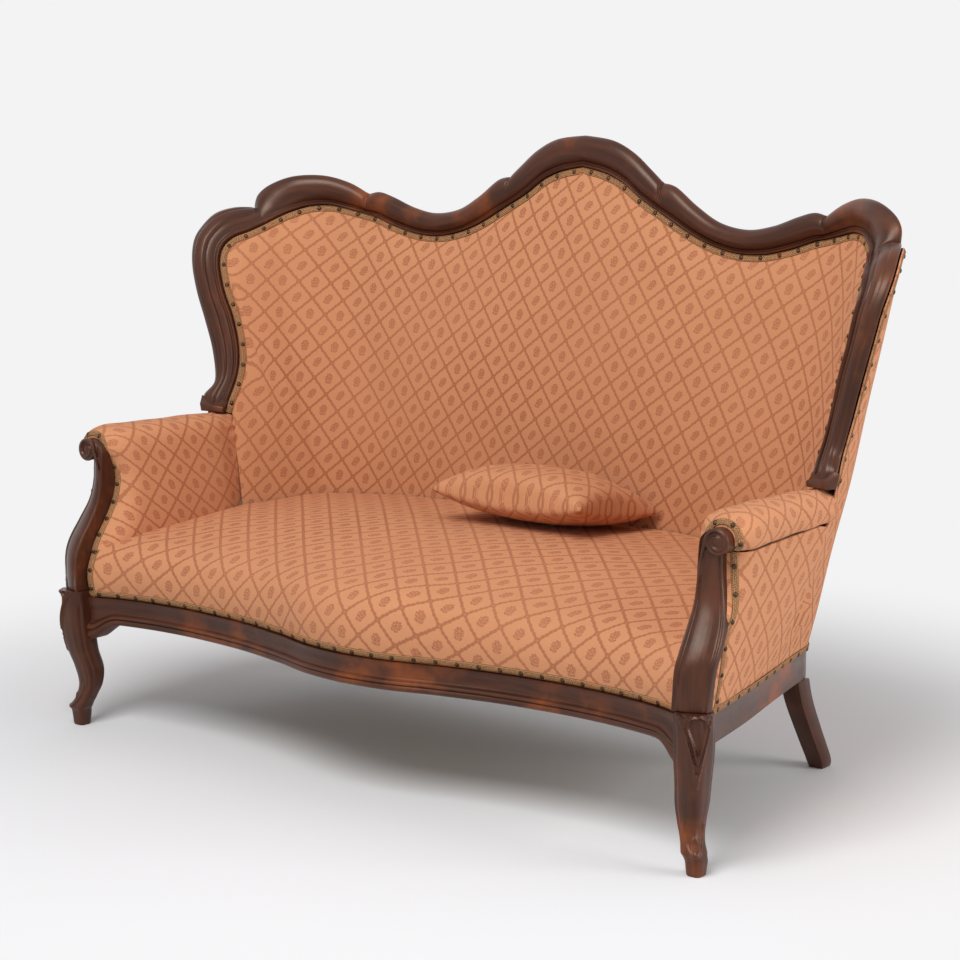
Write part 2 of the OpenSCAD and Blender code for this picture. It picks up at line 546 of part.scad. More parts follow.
// Half thickness above and below the seam, the lower side flattened by the seat
function cushion_half(side) = cushion_thickness * (side > 0 ? 0.6 : 0.4) - 2;
function cushion_crown(u, v) = pow(max(0, (1 - pow(u, 2)) * (1 - pow(v, 2))), 0.42);
function cushion_point(u, v, side) =
  let (pull = 1 - 0.09 * (1 - pow(v, 2)) * pow(u, 8), draw = 1 - 0.12 * (1 - pow(u, 2)) * pow(v, 8))
  [u * cushion_length / 2 * pull, v * cushion_width / 2 * draw, side * (cushion_half(side) * cushion_crown(u, v) + 2)];
cushion_shares = [for (i = [-cushion_n : cushion_n]) sin(90 * i / cushion_n)];
function cushion_grid(side) = [for (v = cushion_shares) [for (u = cushion_shares) cushion_point(u, v, side)]];
// Lowest height of the centre at which the cushion clears the seat, from points all over
// the seat's facets
facet_shares = [[0, 0], [0.5, 0], [0, 0.5], [0.5, 0.5], [0.25, 0.25], [0.75, 0.75], [0.5, 0.25], [0.75, 0.25]];
function facet_point(i, j, s) = let (a = seat_grid[i][j], b = seat_grid[i + 1][j + 1],
    c = s[0] >= s[1] ? seat_grid[i + 1][j] : seat_grid[i][j + 1], low = min(s[0], s[1]), high = max(s[0], s[1]))
  a + (c - a) * (high - low) + (b - a) * low;
function seat_height_needed(p) =
  let (d = [p[0] - cushion_at[0], p[1] - cushion_at[1]],
       u = (d[0] * cos(cushion_turn) + d[1] * sin(cushion_turn)) * 2 / cushion_length,
       y = d[1] * cos(cushion_turn) - d[0] * sin(cushion_turn), v = y * 2 / cushion_width)
  abs(u) < 1 && abs(v) < 1
    ? p[2] + 3 * gap + 2 + cushion_half(-1) * cushion_crown(u, v) + y * sin(cushion_tilt) : 0;
cushion_centre = max([for (i = [len(border_table) - 1 : len(seat_grid) - 2], j = [0 : len(seat_grid[0]) - 2])
  for (s = facet_shares) seat_height_needed(facet_point(i, j, s))]);
module loose_cushion() {
  color(cloth) translate([cushion_at[0], cushion_at[1], cushion_centre])
    rotate([-cushion_tilt, 0, cushion_turn]) sheet(cushion_grid(1), cushion_grid(-1));
}

// Hidden frame of the back and arms

module post_loft(table) {
  color(hidden_wood) loft([for (s = table)
    [[s[1] - s[3], s[2] - s[4], s[0]], [s[1] + s[3], s[2] - s[4], s[0]],
     [s[1] + s[3], s[2] + s[4], s[0]], [s[1] - s[3], s[2] + s[4], s[0]]]]);
}
stile_top = inner_edge[shoulder_end] - [0, 0, 6];
stile_foot = [back_corner[0] - 20, back_rail_y + 18];
module back_stile_right() {
  post_loft([[back_rail_top + gap, stile_foot[0], stile_foot[1], 12, 8], [stile_top[2], stile_top[0] - 6, stile_top[1] + 31, 12, 8]]);
}
module back_stile_left() {
  mirror([1, 0, 0]) back_stile_right();
}
wing_foot = inner_edge[wing_end];
// Centre x and y, height over the front rail's top, and half section of the stump
stump_table = fit_all([[684, 60, 112, 4.5], [693, 60, 136, 5], [700, 61, 162, 5]]);
stump_foot = fit([625, 60]);
stump_head = fit([741, 67]);
stump_half = 8;
module wing_stump_right() {
  post_loft(concat([[side_top(stump_foot[1]) + gap, stump_foot[0], stump_foot[1], 7, stump_half]],
    [for (s = stump_table) [rail_top + s[2], s[0], s[1], s[3], stump_half]],
    [[wing_foot[2] - 2, stump_head[0], stump_head[1], 9, stump_half]]));
}
module wing_stump_left() {
  mirror([1, 0, 0]) wing_stump_right();
}
arm_rail_height = 32.6;
arm_rail_bottom = arm_rail_top - arm_rail_height;
arm_rail_back = fit([720, 50]);
arm_rail_outer = fit([742, 50]);
arm_rail_rear = [arm_rail_back[1], arm_rail_back[0], arm_rail_outer[0]];
arm_rail_inside = fit([733, 0])[0];
arm_rail_outside = fit([774, 0])[0];
module arm_rail_right() {
  front = post_back_at(arm_rail_top) + 14;
  color(hidden_wood) loft([for (e = [[front, arm_rail_inside, arm_rail_outside], arm_rail_rear])
    [[e[1], e[0], arm_rail_bottom], [e[2], e[0], arm_rail_bottom],
     [e[2], e[0], arm_rail_top], [e[1], e[0], arm_rail_top]]]);
}
module arm_rail_left() {
  mirror([1, 0, 0]) arm_rail_right();
}
module back_muntins() {
  top = inner_edge[crest_end - 2];
  for (side = [-1, 1]) mirror([side < 0 ? 1 : 0, 0, 0])
    post_loft([[back_rail_top + gap, top[0], back_rail_y + 20.6, 16, 6.4], [top[2] - 10, top[0], crest_y + 34, 16, 6.4]]);
}

// Seat frame: corner blocks, stretcher, webbing, springs and hessian

function rail_back(x) = -rail_plan(x) + rail_thickness + 1.6;
function side_inner(t) = lerp(side_plan[0] + side_inward(0) * side_rail_thickness + [0, 24],
  side_plan[1] + side_inward(1) * side_rail_thickness, t) + [-gap, 0];
corner_xs = [for (x = [630, 665, 692]) x * wide];
rear_block = [for (x = [500, 440]) x * wide];
rear_block_front = fit([0, 240])[1];
module corner_blocks() {
  color(hidden_wood) for (side = [-1, 1]) mirror([side < 0 ? 1 : 0, 0, 0]) {
    translate([0, 0, rail_bottom + 4]) linear_extrude(rail_face - 10)
      polygon(concat([side_inner(0.06), side_inner(0.5)], [for (x = corner_xs) [x, rail_back(x)]]));
    translate([0, 0, back_rail_top - rail_face + 4]) linear_extrude(rail_face - 10)
      polygon([[rear_block[0], back_rail_y - gap], [rear_block[1], back_rail_y - gap], [rear_block[0], rear_block_front]]);
  }
}
stretcher_half = 22;
module seat_stretcher() {
  y = -rail_plan(stretcher_half) + rail_thickness + gap;
  color(hidden_wood) loft([for (e = [[y, rail_bottom + 8], [back_rail_y - gap, back_rail_top - rail_face + 8]])
    [[-stretcher_half, e[0], e[1]], [stretcher_half, e[0], e[1]],
     [stretcher_half, e[0], e[1] + 24], [-stretcher_half, e[0], e[1] + 24]]]);
}
web_width = 52;
web_thickness = 1.5;
web_crossing = web_thickness + gap;
function web_z(y) = lerp(rail_bottom, back_rail_top - rail_face, (y + rail_front) / (back_rail_y + rail_front)) - gap;
// Strip through stations of x, y and rise over the webs under the rails
module web_strip(stations) {
  first = stations[0];
  last = stations[len(stations) - 1];
  side = first[0] == last[0] ? [web_width / 2, 0] : [0, web_width / 2];
  color([0.70, 0.60, 0.44]) loft([for (e = stations)
    [for (c = [[-1, 0], [1, 0], [1, 1], [-1, 1]])
      let (p = [e[0], e[1]] + side * c[0]) [p[0], p[1], web_z(p[1]) + e[2] - c[1] * web_thickness]]]);
}
spring_columns = [for (x = [-450, -270, -90, 90, 270, 450]) x * wide];
spring_rows = [for (y = [-130, 50]) y * deep];
rear_web = fit([0, 190])[1];
web_clear = 70;
module seat_webbing() {
  for (x = spring_columns) web_strip([[x, -rail_plan(x) + 22, 0], [x, back_rail_y + 22, 0]]);
  for (y = [spring_rows[0], spring_rows[1], rear_web]) {
    out = side_x(y) - side_rail_thickness / 2;
    web_strip([[-out, y, 0], [-out + web_clear / 2, y, 0], [-out + web_clear, y, web_crossing],
      [out - web_clear, y, web_crossing], [out - web_clear / 2, y, 0], [out, y, 0]]);
  }
}
spring_radius = 34;
spring_wire = 2;
spring_turns = 2.5;
spring_half = spring_wire * sin(45);
// Ring of the wire at share t of the way up, sheared so that both ends lie flat
function spring_ring(t, y) = let (a = 360 * spring_turns * t,
    r = spring_radius * (1 - 0.28 * sin(180 * t)), depth = y + r * sin(a),
    z = lerp(web_z(depth) + web_crossing + spring_half + gap, hessian_z(depth) - spring_half - gap, t))
  [for (k = [0 : 3]) let (b = 90 * k + 45)
    [(r + spring_wire * cos(b)) * cos(a), y + (r + spring_wire * cos(b)) * sin(a), z + spring_wire * sin(b)]];
module seat_springs() {
  n = 8 * spring_turns;
  color([0.45, 0.42, 0.38]) for (x = spring_columns, y = spring_rows)
    translate([x, 0, 0]) loft([for (i = [0 : n]) spring_ring(i / n, y)]);
}
hessian_halves = [for (x = [650, 585, 470]) x * wide];
module seat_hessian() {
  cols = [-1, -0.75, -0.5, -0.25, 0, 0.25, 0.5, 0.75, 1];
  front = hessian_halves[0];
  function lip(u) = -rail_plan(u * front) + rail_thickness / 2 + 3;
  grid = concat([[for (u = cols) [u * front, lip(u), hessian_z(hessian_level)]]],
    [for (row = [[front, hessian_level], [hessian_halves[1], 0], [hessian_halves[2], back_rail_y],
      [hessian_halves[2], back_rail_y + 9]])
      [for (u = cols) [u * row[0], row[1], hessian_z(row[1])]]]);
  color([0.66, 0.56, 0.40]) sheet([for (r = grid) [for (p = r) p + [0, 0, hessian_thickness]]], grid);
}

// Gimp braid over the edges of the covers

function row_normals(g, i) = [for (j = [0 : len(g[0]) - 1]) grid_normal(g, i, j)];
function shifted(row, normals, d) = [for (j = [0 : len(row) - 1]) row[j] + normals[j] * d];
function outward(list) = [for (n = list) -n];
function between(a, b, t) = [for (j = [0 : len(a) - 1]) lerp(a[j], b[j], t)];
// A band between two rows of points, standing off the cover
module band(a, b, na, nb) {
  color(braid) sheet([shifted(a, na, gap + gimp_thickness), shifted(b, nb, gap + gimp_thickness)],
    [shifted(a, na, gap), shifted(b, nb, gap)]);
}
back_rows = [inside_grid[0], between(inside_grid[0], inside_grid[1], 0.93),
  outward(row_normals(inside_grid, 0)), outward(row_normals(inside_grid, 1))];
module back_gimp() {
  band(back_rows[0], back_rows[1], back_rows[2], back_rows[3]);
}
seat_rows = [seat_grid[0], between(seat_grid[0], seat_grid[1], 0.93),
  row_normals(seat_grid, 0), row_normals(seat_grid, 1)];
module seat_gimp() {
  band(seat_rows[0], seat_rows[1], seat_rows[2], seat_rows[3]);
}
last_row = len(side_grid) - 1;
side_foot_rows = [side_grid[last_row], between(side_grid[last_row], side_grid[last_row - 1], 0.93),
  outward(row_normals(side_grid, last_row)), outward(row_normals(side_grid, last_row - 1))];
wing_rows = [for (r = [side_grid[0], between(side_grid[0], side_grid[1], 0.93),
  outward(row_normals(side_grid, 0)), outward(row_normals(side_grid, 1))]) part_of(r, seam_cols, ear_col - 1)];
module side_gimp_right() {
  band(side_foot_rows[0], side_foot_rows[1], side_foot_rows[2], side_foot_rows[3]);
  band(wing_rows[0], wing_rows[1], wing_rows[2], wing_rows[3]);
}
module side_gimp_left() {
  mirror([1, 0, 0]) side_gimp_right();
}
pad_grid = [for (t = [0, pad_band, 0.13]) part_of(pad_row(t, pad_skin), 0, len(pad_skin) - 3)];
pad_rows = [pad_grid[0], pad_grid[1], outward(row_normals(pad_grid, 0)), outward(row_normals(pad_grid, 1))];
module arm_gimp_right() {
  band(pad_rows[0], between(pad_rows[0], pad_rows[1], 0.93), pad_rows[2], pad_rows[3]);
}
module arm_gimp_left() {
  mirror([1, 0, 0]) arm_gimp_right();
}

crest_centre();
crest_shoulder_left();
crest_shoulder_right();
crest_ear_left();
crest_ear_right();
wing_moulding_left();
wing_moulding_right();
front_leg_left();
front_leg_right();
arm_post_left();
arm_post_right();
front_rail();
side_rail_left();
side_rail_right();
back_rail();
back_leg_left();
back_leg_right();
seat_cover();
inside_back_cover();
outside_back_cover();
outside_side_left();
outside_side_right();
arm_pad_left();
arm_pad_right();
loose_cushion();
inside_back_stuffing();
seat_stuffing();
back_stile_left();
back_stile_right();
wing_stump_left();
wing_stump_right();
arm_rail_left();
arm_rail_right();
back_muntins();
corner_blocks();
seat_stretcher();
seat_webbing();
seat_springs();
seat_hessian();
back_gimp();
seat_gimp();
side_gimp_left();
side_gimp_right();
arm_gimp_left();
arm_gimp_right();
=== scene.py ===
"""Cabriole sofa: carved show wood, fitted covers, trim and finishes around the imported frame.

Metres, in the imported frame: +X to the viewer's right, +Y to the back, +Z up.
Shapes are laid out in millimetres, as on the drawing, and scaled when a mesh is made.
"""

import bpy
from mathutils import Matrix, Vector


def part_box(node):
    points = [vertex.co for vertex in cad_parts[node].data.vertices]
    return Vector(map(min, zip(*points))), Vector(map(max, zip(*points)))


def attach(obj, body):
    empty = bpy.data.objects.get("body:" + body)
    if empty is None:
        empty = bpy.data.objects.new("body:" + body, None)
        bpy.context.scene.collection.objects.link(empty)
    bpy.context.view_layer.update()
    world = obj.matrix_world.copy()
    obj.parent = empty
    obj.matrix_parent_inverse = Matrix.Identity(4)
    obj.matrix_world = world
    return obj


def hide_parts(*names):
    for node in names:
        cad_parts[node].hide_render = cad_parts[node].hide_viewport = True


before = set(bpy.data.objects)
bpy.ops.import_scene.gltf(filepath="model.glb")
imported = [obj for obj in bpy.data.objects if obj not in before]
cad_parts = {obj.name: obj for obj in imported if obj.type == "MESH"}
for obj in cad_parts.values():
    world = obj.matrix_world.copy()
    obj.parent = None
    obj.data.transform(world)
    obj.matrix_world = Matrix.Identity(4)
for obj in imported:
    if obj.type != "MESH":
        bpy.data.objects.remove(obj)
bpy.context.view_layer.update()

import math
from functools import lru_cache

import bpy
import numpy as np
from bpy.props import FloatProperty, FloatVectorProperty, PointerProperty

bl_info = {
    "name": "Cabriole sofa",
    "version": (1, 0, 0),
    "blender": (4, 5, 0),
    "location": "View3D > Sidebar > Sofa",
    "description": "Builds the covers, carved wood and trim of a cabriole sofa",
    "category": "Object",
}

MM = 0.001

# Show-wood edges from the crest centre to the foot of the right wing, as shares of the
# half width, the depth of the back and the height
CREST_OUTER = [(0, 1, 1), (0.08, 1, 0.993), (0.14, 1, 0.974), (0.19, 1, 0.947), (0.225, 1, 0.926)]
CREST_INNER = [(0, 1, 0.949), (0.06, 1, 0.941), (0.115, 1, 0.926), (0.17, 1, 0.9), (0.222, 1, 0.88)]
SHOULDER_OUTER = [
    (0.225, 1, 0.926), (0.262, 0.998, 0.92), (0.32, 0.996, 0.891), (0.385, 0.994, 0.866),
    (0.46, 0.99, 0.857), (0.53, 0.986, 0.865), (0.595, 0.98, 0.881), (0.64, 0.974, 0.889),
    (0.672, 0.965, 0.884),
]
SHOULDER_INNER = [
    (0.222, 1, 0.88), (0.268, 1, 0.862), (0.315, 1, 0.845), (0.375, 1, 0.829),
    (0.445, 0.998, 0.8195), (0.515, 0.996, 0.821), (0.585, 0.993, 0.832), (0.64, 0.99, 0.845),
    (0.672, 0.985, 0.85),
]
EAR_OUTER = [
    (0.672, 0.965, 0.884), (0.72, 0.926, 0.904), (0.78, 0.855, 0.917), (0.845, 0.761, 0.917),
    (0.9, 0.696, 0.904), (0.93, 0.655, 0.886), (0.937, 0.634, 0.863),
]
EAR_INNER = [
    (0.672, 0.985, 0.85), (0.715, 0.955, 0.857), (0.765, 0.895, 0.865), (0.808, 0.81, 0.864),
    (0.842, 0.72, 0.855), (0.864, 0.65, 0.845), (0.876, 0.577, 0.836),
]
WING_OUTER = [
    (0.937, 0.634, 0.863), (0.963, 0.522, 0.864), (0.985, 0.404, 0.854), (0.998, 0.304, 0.829),
    (1, 0.242, 0.804), (0.99, 0.2, 0.766), (0.972, 0.192, 0.717), (0.948, 0.204, 0.664),
    (0.926, 0.212, 0.611), (0.912, 0.19, 0.56), (0.921, 0.115, 0.535), (0.914, 0.11, 0.507),
]
WING_INNER = [
    (0.876, 0.577, 0.836), (0.895, 0.484, 0.824), (0.912, 0.392, 0.815), (0.923, 0.33, 0.802),
    (0.926, 0.292, 0.785), (0.921, 0.268, 0.758), (0.906, 0.271, 0.713), (0.886, 0.289, 0.672),
    (0.868, 0.295, 0.617), (0.86, 0.26, 0.573), (0.858, 0.171, 0.527), (0.862, 0.153, 0.506),
]
RUNS = [
    (0, CREST_OUTER, CREST_INNER), (4, SHOULDER_OUTER, SHOULDER_INNER),
    (12, EAR_OUTER, EAR_INNER), (18, WING_OUTER, WING_INNER),
]
CREST_END, SHOULDER_END, EAR_END, WING_END = 4, 12, 18, 29

# Section of the moulding from the fabric side to the outer edge and round the back:
# share of the face width, and share of the timber's depth in front of the face
MOULDING = [
    (0.16, -1), (0.02, -0.55), (0, -0.3), (0, -0.08), (0.005, 0.0), (0.03, 0.055), (0.06, 0.06),
    (0.085, 0.02), (0.1, -0.01), (0.112, 0.015), (0.13, 0.035), (0.148, 0.015), (0.155, -0.03),
    (0.17, -0.055), (0.188, -0.03), (0.22, 0.02), (0.3, 0.085), (0.4, 0.135), (0.5, 0.165),
    (0.6, 0.17), (0.7, 0.15), (0.8, 0.1), (0.88, 0.03), (0.95, -0.07), (0.99, -0.17),
    (1, -0.26), (0.96, -0.36), (0.87, -0.47), (0.74, -0.62), (0.6, -0.78), (0.42, -1),
]

# Front rail in plan: share of the half width, and share of its greatest reach forward
RAIL_PLAN = [
    (0, 1), (0.11, 0.975), (0.22, 0.905), (0.36, 0.838), (0.5, 0.805), (0.61, 0.8),
    (0.7, 0.815), (0.79, 0.85), (0.862, 0.9),
]
# Seat border: setback behind the rail's face, and height over the rail
BORDER = [(9, 1.5), (5, 15), (0, 42), (2, 72), (13, 100), (42, 121)]
# Foot of the inside back, from the centre out
BACK_FOOT = [
    (0, 290, 430), (165, 290, 429), (330, 287, 426), (500, 272, 420), (600, 225, 414),
    (648, 135, 409), (676, 62, 404),
]
# Front leg: share of its height, then reach outwards, reach back and half width in knees
LEG = [
    (0, 0, 0, 0.55), (0.04, 0, 0, 0.59), (0.09, 0.0, 0, 0.64), (0.14, -0.1, -0.1, 0.68),
    (0.2, -0.35, 0.1, 0.64), (0.3, -0.6, 0.36, 0.72), (0.42, -0.56, 0.32, 0.87),
    (0.56, -0.3, 0, 0.93), (0.72, -0.14, -0.2, 1.02), (0.86, -0.1, -0.25, 1.04),
    (1, -0.12, -0.3, 1.0),
]
# Arm post: share of its height, reach forward and half width as shares of POST_FRONT and
# POST_HALF, and shift aside
POST = [
    (0, 1.035, 1.0, -3), (0.1, 1.035, 1.035, -2), (0.25, 1.025, 1.085, 0), (0.36, 0.988, 1.1, 1),
    (0.5, 0.917, 1.02, -3), (0.63, 0.862, 0.84, -9), (0.76, 0.838, 0.73, -13),
    (0.88, 0.833, 0.69, -14), (1, 0.825, 0.66, -14),
]
# Back leg: share of its height, its centre in plan, and half its thickness
BACK_LEG = [
    (0, 575, 341, 15), (0.1, 576, 334, 17.5), (0.4, 574, 302, 18.5), (0.75, 571, 268, 19.5),
    (1, 570, 252, 20),
]
# Outer face of the side rail in plan, and the top of the outside cover along the arm
SIDE_PLAN = [(758, -316), (707, -130), (647, 60), (601, 210), (586, 262), (566, 294), (536, 306)]
ARM_SEAM = [(788, -246, 538), (780, -160, 538), (771, -70, 538), (763, 10, 538), (760, 46, 538)]
# Arm pad's section: across, up, share of the inner side, and share of the narrowing to the back
PAD_SKIN = [
    (790, 541, 0, 1), (801, 547, 0, 1), (806, 561, 0, 1), (801, 579, 0, 1), (782, 592, 0, 0.8),
    (755, 596, 0, 0.5), (726, 594, 0.2, 0.25), (703, 585, 0.6, 0.1), (692, 566, 0.8, 0.05),
    (688, 536, 0.9, 0.05), (684, 490, 1, 0.05), (681, 454, 1.06, 0.05), (679, 425, 1.1, 0.05),
    (677, 400, 1.14, 0.05), (674, 340, 1.2, 0.05),
]


# Sizes and colours


class SofaSizes(bpy.types.PropertyGroup):
    """Sizes of the trim and of the cloth's pattern. The main sizes are fixed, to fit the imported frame."""

    gimp_width: FloatProperty(name="Gimp width", description="Width of the woven braid",
                              default=0.013, unit="LENGTH")
    nail_pitch: FloatProperty(name="Nail pitch", description="Distance between the nails of the trim",
                              default=0.043, unit="LENGTH")
    nail_radius: FloatProperty(name="Nail radius", description="Radius of a nail's domed head",
                               default=0.0048, unit="LENGTH")
    lattice_width: FloatProperty(name="Lattice width",
                                 description="Width of one diamond of the cloth's lattice",
                                 default=0.064, unit="LENGTH")
    lattice_height: FloatProperty(name="Lattice height",
                                  description="Height of one diamond of the cloth's lattice",
                                  default=0.070, unit="LENGTH")


class SofaColours(bpy.types.PropertyGroup):
    """Colours of the sofa's finishes, in linear light."""

    cloth: FloatVectorProperty(name="Cloth", description="Ground colour of the cover cloth",
                               subtype="COLOR", size=3, default=(0.620, 0.271, 0.131))
    lattice: FloatVectorProperty(name="Lattice", description="Colour of the woven lattice",
                                 subtype="COLOR", size=3, default=(0.330, 0.105, 0.048))
    sprig: FloatVectorProperty(name="Sprig", description="Colour of the woven sprigs",
                               subtype="COLOR", size=3, default=(0.310, 0.088, 0.046))
    wood: FloatVectorProperty(name="Show wood", description="Colour of the polished mahogany",
                              subtype="COLOR", size=3, default=(0.060, 0.0170, 0.0084))
    wood_glow: FloatVectorProperty(name="Worn wood", description="Colour where the polish is thin",
                                   subtype="COLOR", size=3, default=(0.260, 0.062, 0.013))
    polish: FloatVectorProperty(name="Polish", description="Tint of the amber polish's gloss",
                                subtype="COLOR", size=4, default=(1.0, 0.80, 0.66, 1.0))
    braid: FloatVectorProperty(name="Gimp", description="Colour of the gimp braid",
                               subtype="COLOR", size=3, default=(0.480, 0.250, 0.110))
    nail: FloatVectorProperty(name="Nail", description="Colour of the aged nail heads",
                              subtype="COLOR", size=3, default=(0.050, 0.028, 0.014))


def sizes():
    return bpy.context.scene.sofa_sizes


def colours():
    return bpy.context.scene.sofa_colours


# Curves on the drawing, in millimetres


def catmull(points, s):
    """Point at station s of the smooth curve through the points."""
    p = np.asarray(points, float)
    k = int(np.clip(math.floor(s), 0, len(p) - 2))
    t = s - k
    a, b, c, d = p[max(k - 1, 0)], p[k], p[k + 1], p[min(k + 2, len(p) - 1)]
    return (2 * b + (c - a) * t + (2 * a - 5 * b + 4 * c - d) * t * t
            + (3 * b - a - 3 * c + d) * t ** 3) / 2


def smooth_line(points, count):
    """Evenly spaced points of the smooth curve through the points."""
    return [catmull(points, s) for s in np.linspace(0, len(points) - 1, count)]


def run_lengths(line):
    """Distance along a line from its start to each of its points."""
    return np.concatenate([[0], np.cumsum(np.linalg.norm(np.diff(line, axis=0), axis=1))])


def smoothstep(low, high, x):
    t = np.clip((np.asarray(x, float) - low) / (high - low), 0, 1)
    return t * t * (3 - 2 * t)


def unit(v):
    v = np.asarray(v, float)
    return v / max(float(np.linalg.norm(v)), 1e-9)


def lerp(a, b, t):
    return a + (b - a) * t


MIRROR = np.array([-1.0, 1.0, 1.0])
HALF_W, HALF_D, HEIGHT = 837.0, 388.0, 1184.0
FRAME_DEPTH = 44.0
BACK_Y = HALF_D - 3 - 0.8 - FRAME_DEPTH
EDGE_SCALE = np.array([HALF_W, BACK_Y, HEIGHT])
RAIL_BEAD, RAIL_BOTTOM, RAIL_FACE, RAIL_THICK = 5.0, 216.0, 52.0, 34.0
RAIL_TOP = RAIL_BOTTOM + RAIL_FACE
RAIL_FRONT = HALF_D - RAIL_BEAD
LEG_X, LEG_Y, KNEE, LEG_TOP = 752.0, 339.0, 29.0, 282.0
POST_FRONT, POST_HALF, POST_DEPTH = 362.0, 28.0, 40.0
POST_FOOT = LEG_TOP + 0.3
SCROLL_Z, SCROLL_R, SCROLL_LEN = 559.0, 23.0, 50.0
SCROLL_X = LEG_X + 6
RAIL_END = SIDE_PLAN[-1][1]
DRAWN_SCROLL_R = 27
COVER = 3.0


@lru_cache(maxsize=None)
def edge(which, s):
    """Outer (0) or inner (1) edge of the show wood at station s, negative on the left."""
    side = np.sign(s) or 1
    s = min(abs(s), WING_END)
    start, outer, inner = [r for r in RUNS if r[0] <= s][-1]
    return catmull((outer, inner)[which], s - start) * EDGE_SCALE * (side, 1, 1)


@lru_cache(maxsize=None)
def face_normal(s):
    """Normal of the moulding's face at station s, pointing to the sitter."""
    run = unit(edge(1, min(s + 0.5, WING_END)) - edge(1, max(s - 0.5, -WING_END)))
    return unit(np.cross(run, unit(edge(0, s) - edge(1, s))))


def timber_share(s):
    """Share of the frame's full depth at station s: the timber thins over the ears."""
    return 1 - 0.25 * np.clip((abs(s) - SHOULDER_END) / (EAR_END - SHOULDER_END), 0, 1)


def moulding_point(s, across, rise):
    depth = FRAME_DEPTH * (timber_share(s) if rise < 0 else 1)
    return lerp(edge(1, s), edge(0, s), across) + face_normal(s) * rise * depth


def rail_plan(x):
    """Distance of the front rail's face in front of the centre at x."""
    table = np.array(RAIL_PLAN)
    at = np.interp(abs(x) / HALF_W, table[:, 0], np.arange(len(table)))
    return float(catmull(table[:, 1:] * RAIL_FRONT, at)[0])


@lru_cache(maxsize=None)
def post_table():
    return np.array(smooth_line(POST, 61))


def post_front_at(z):
    table = post_table()
    return -POST_FRONT * float(np.interp((z - POST_FOOT) / (SCROLL_Z - POST_FOOT), table[:, 0], table[:, 1]))


def side_top(y):
    return RAIL_TOP - 26 * np.clip((y + 316) / 594, 0, 1)


# Mesh helpers


def deselect():
    if bpy.context.object and bpy.context.object.mode != "OBJECT":
        bpy.ops.object.mode_set(mode="OBJECT")
    bpy.ops.object.select_all(action="DESELECT")


def make_active(obj):
    deselect()
    obj.select_set(True)
    bpy.context.view_layer.objects.active = obj


def edit(obj, *steps):
    """Runs each step on the whole of obj in edit mode."""
    make_active(obj)
    bpy.ops.object.mode_set(mode="EDIT")
    bpy.ops.mesh.select_mode(type="VERT")
    for step in steps:
        bpy.ops.mesh.select_all(action="SELECT")
        step()
    bpy.ops.object.mode_set(mode="OBJECT")


def select_open_edges():
    bpy.ops.mesh.select_all(action="DESELECT")
    bpy.ops.mesh.select_non_manifold(extend=False, use_wire=False, use_multi_face=False,
                                     use_non_contiguous=False, use_verts=False)


def close_holes():
    select_open_edges()
    bpy.ops.mesh.edge_face_add()


def wall_edges():
    select_open_edges()
    bpy.ops.mesh.bridge_edge_loops()


def face_outwards():
    bpy.ops.mesh.normals_make_consistent(inside=False)


def grid(name, points, uv):
    """A grid primitive laid onto rows of points in millimetres, with its cloth or grain map in metres."""
    points = np.asarray(points, float)
    rows, cols = points.shape[:2]
    deselect()
    bpy.ops.mesh.primitive_grid_add(x_subdivisions=cols - 1, y_subdivisions=rows - 1, size=1)
    obj = bpy.context.object
    obj.name = obj.data.name = name
    mesh = obj.data
    if len(mesh.vertices) != rows * cols:
        raise RuntimeError(f"{name}: grid has {len(mesh.vertices)} vertices, not {rows * cols}")
    mesh.vertices.foreach_set("co", (points * MM).ravel())
    uv = np.asarray(uv, float).reshape(-1, 2)
    layer = mesh.uv_layers.active
    layer.name = "flat"
    index = np.zeros(len(mesh.loops), np.int32)
    mesh.loops.foreach_get("vertex_index", index)
    layer.data.foreach_set("uv", uv[index].astype(np.float32).ravel())
    mesh.update()
    return obj


def loft(name, rings):
    """Closed solid through rings of points, with its grain map along and round it."""
    rings = np.asarray(rings, float)
    wrapped = np.concatenate([rings, rings[:, :1]], axis=1)
    along = run_lengths(rings.mean(axis=1))
    around = np.linalg.norm(np.diff(wrapped, axis=1), axis=2).mean(axis=0)
    around = np.concatenate([[0], np.cumsum(around)])
    uv = np.stack(np.meshgrid(along, around, indexing="ij"), axis=-1) * MM
    obj = grid(name, wrapped, uv)
    edit(obj, lambda: bpy.ops.mesh.remove_doubles(threshold=1e-6), close_holes, face_outwards)
    return obj


def shell(name, front, back, uv):
    """Closed solid between two grids of the same shape."""
    front, back = np.asarray(front, float), np.asarray(back, float)
    outer = grid(name, front, uv)
    inner = grid(name + "_lining", back, uv)
    make_active(outer)
    inner.select_set(True)
    bpy.ops.object.join()
    edit(outer, wall_edges, face_outwards)
    return outer


def grid_normals(g):
    along = np.gradient(g, axis=1)
    down = np.gradient(g, axis=0)
    n = np.cross(along, down)
    return n / np.maximum(np.linalg.norm(n, axis=2, keepdims=True), 1e-9)


def both_sides(right):
    """Rows of a right half, from the centre out, doubled to the left."""
    right = np.asarray(right, float)
    return np.concatenate([right[:, :0:-1] * MIRROR, right], axis=1)


def refine(g, rows, cols):
    """Smooth finer grid through a coarse one."""
    g = np.array(smooth_line(np.asarray(g, float), rows)).transpose(1, 0, 2)
    return np.array(smooth_line(g, cols)).transpose(1, 0, 2)


def smooth(obj, degrees=50):
    make_active(obj)
    bpy.ops.object.shade_smooth_by_angle(angle=math.radians(degrees))


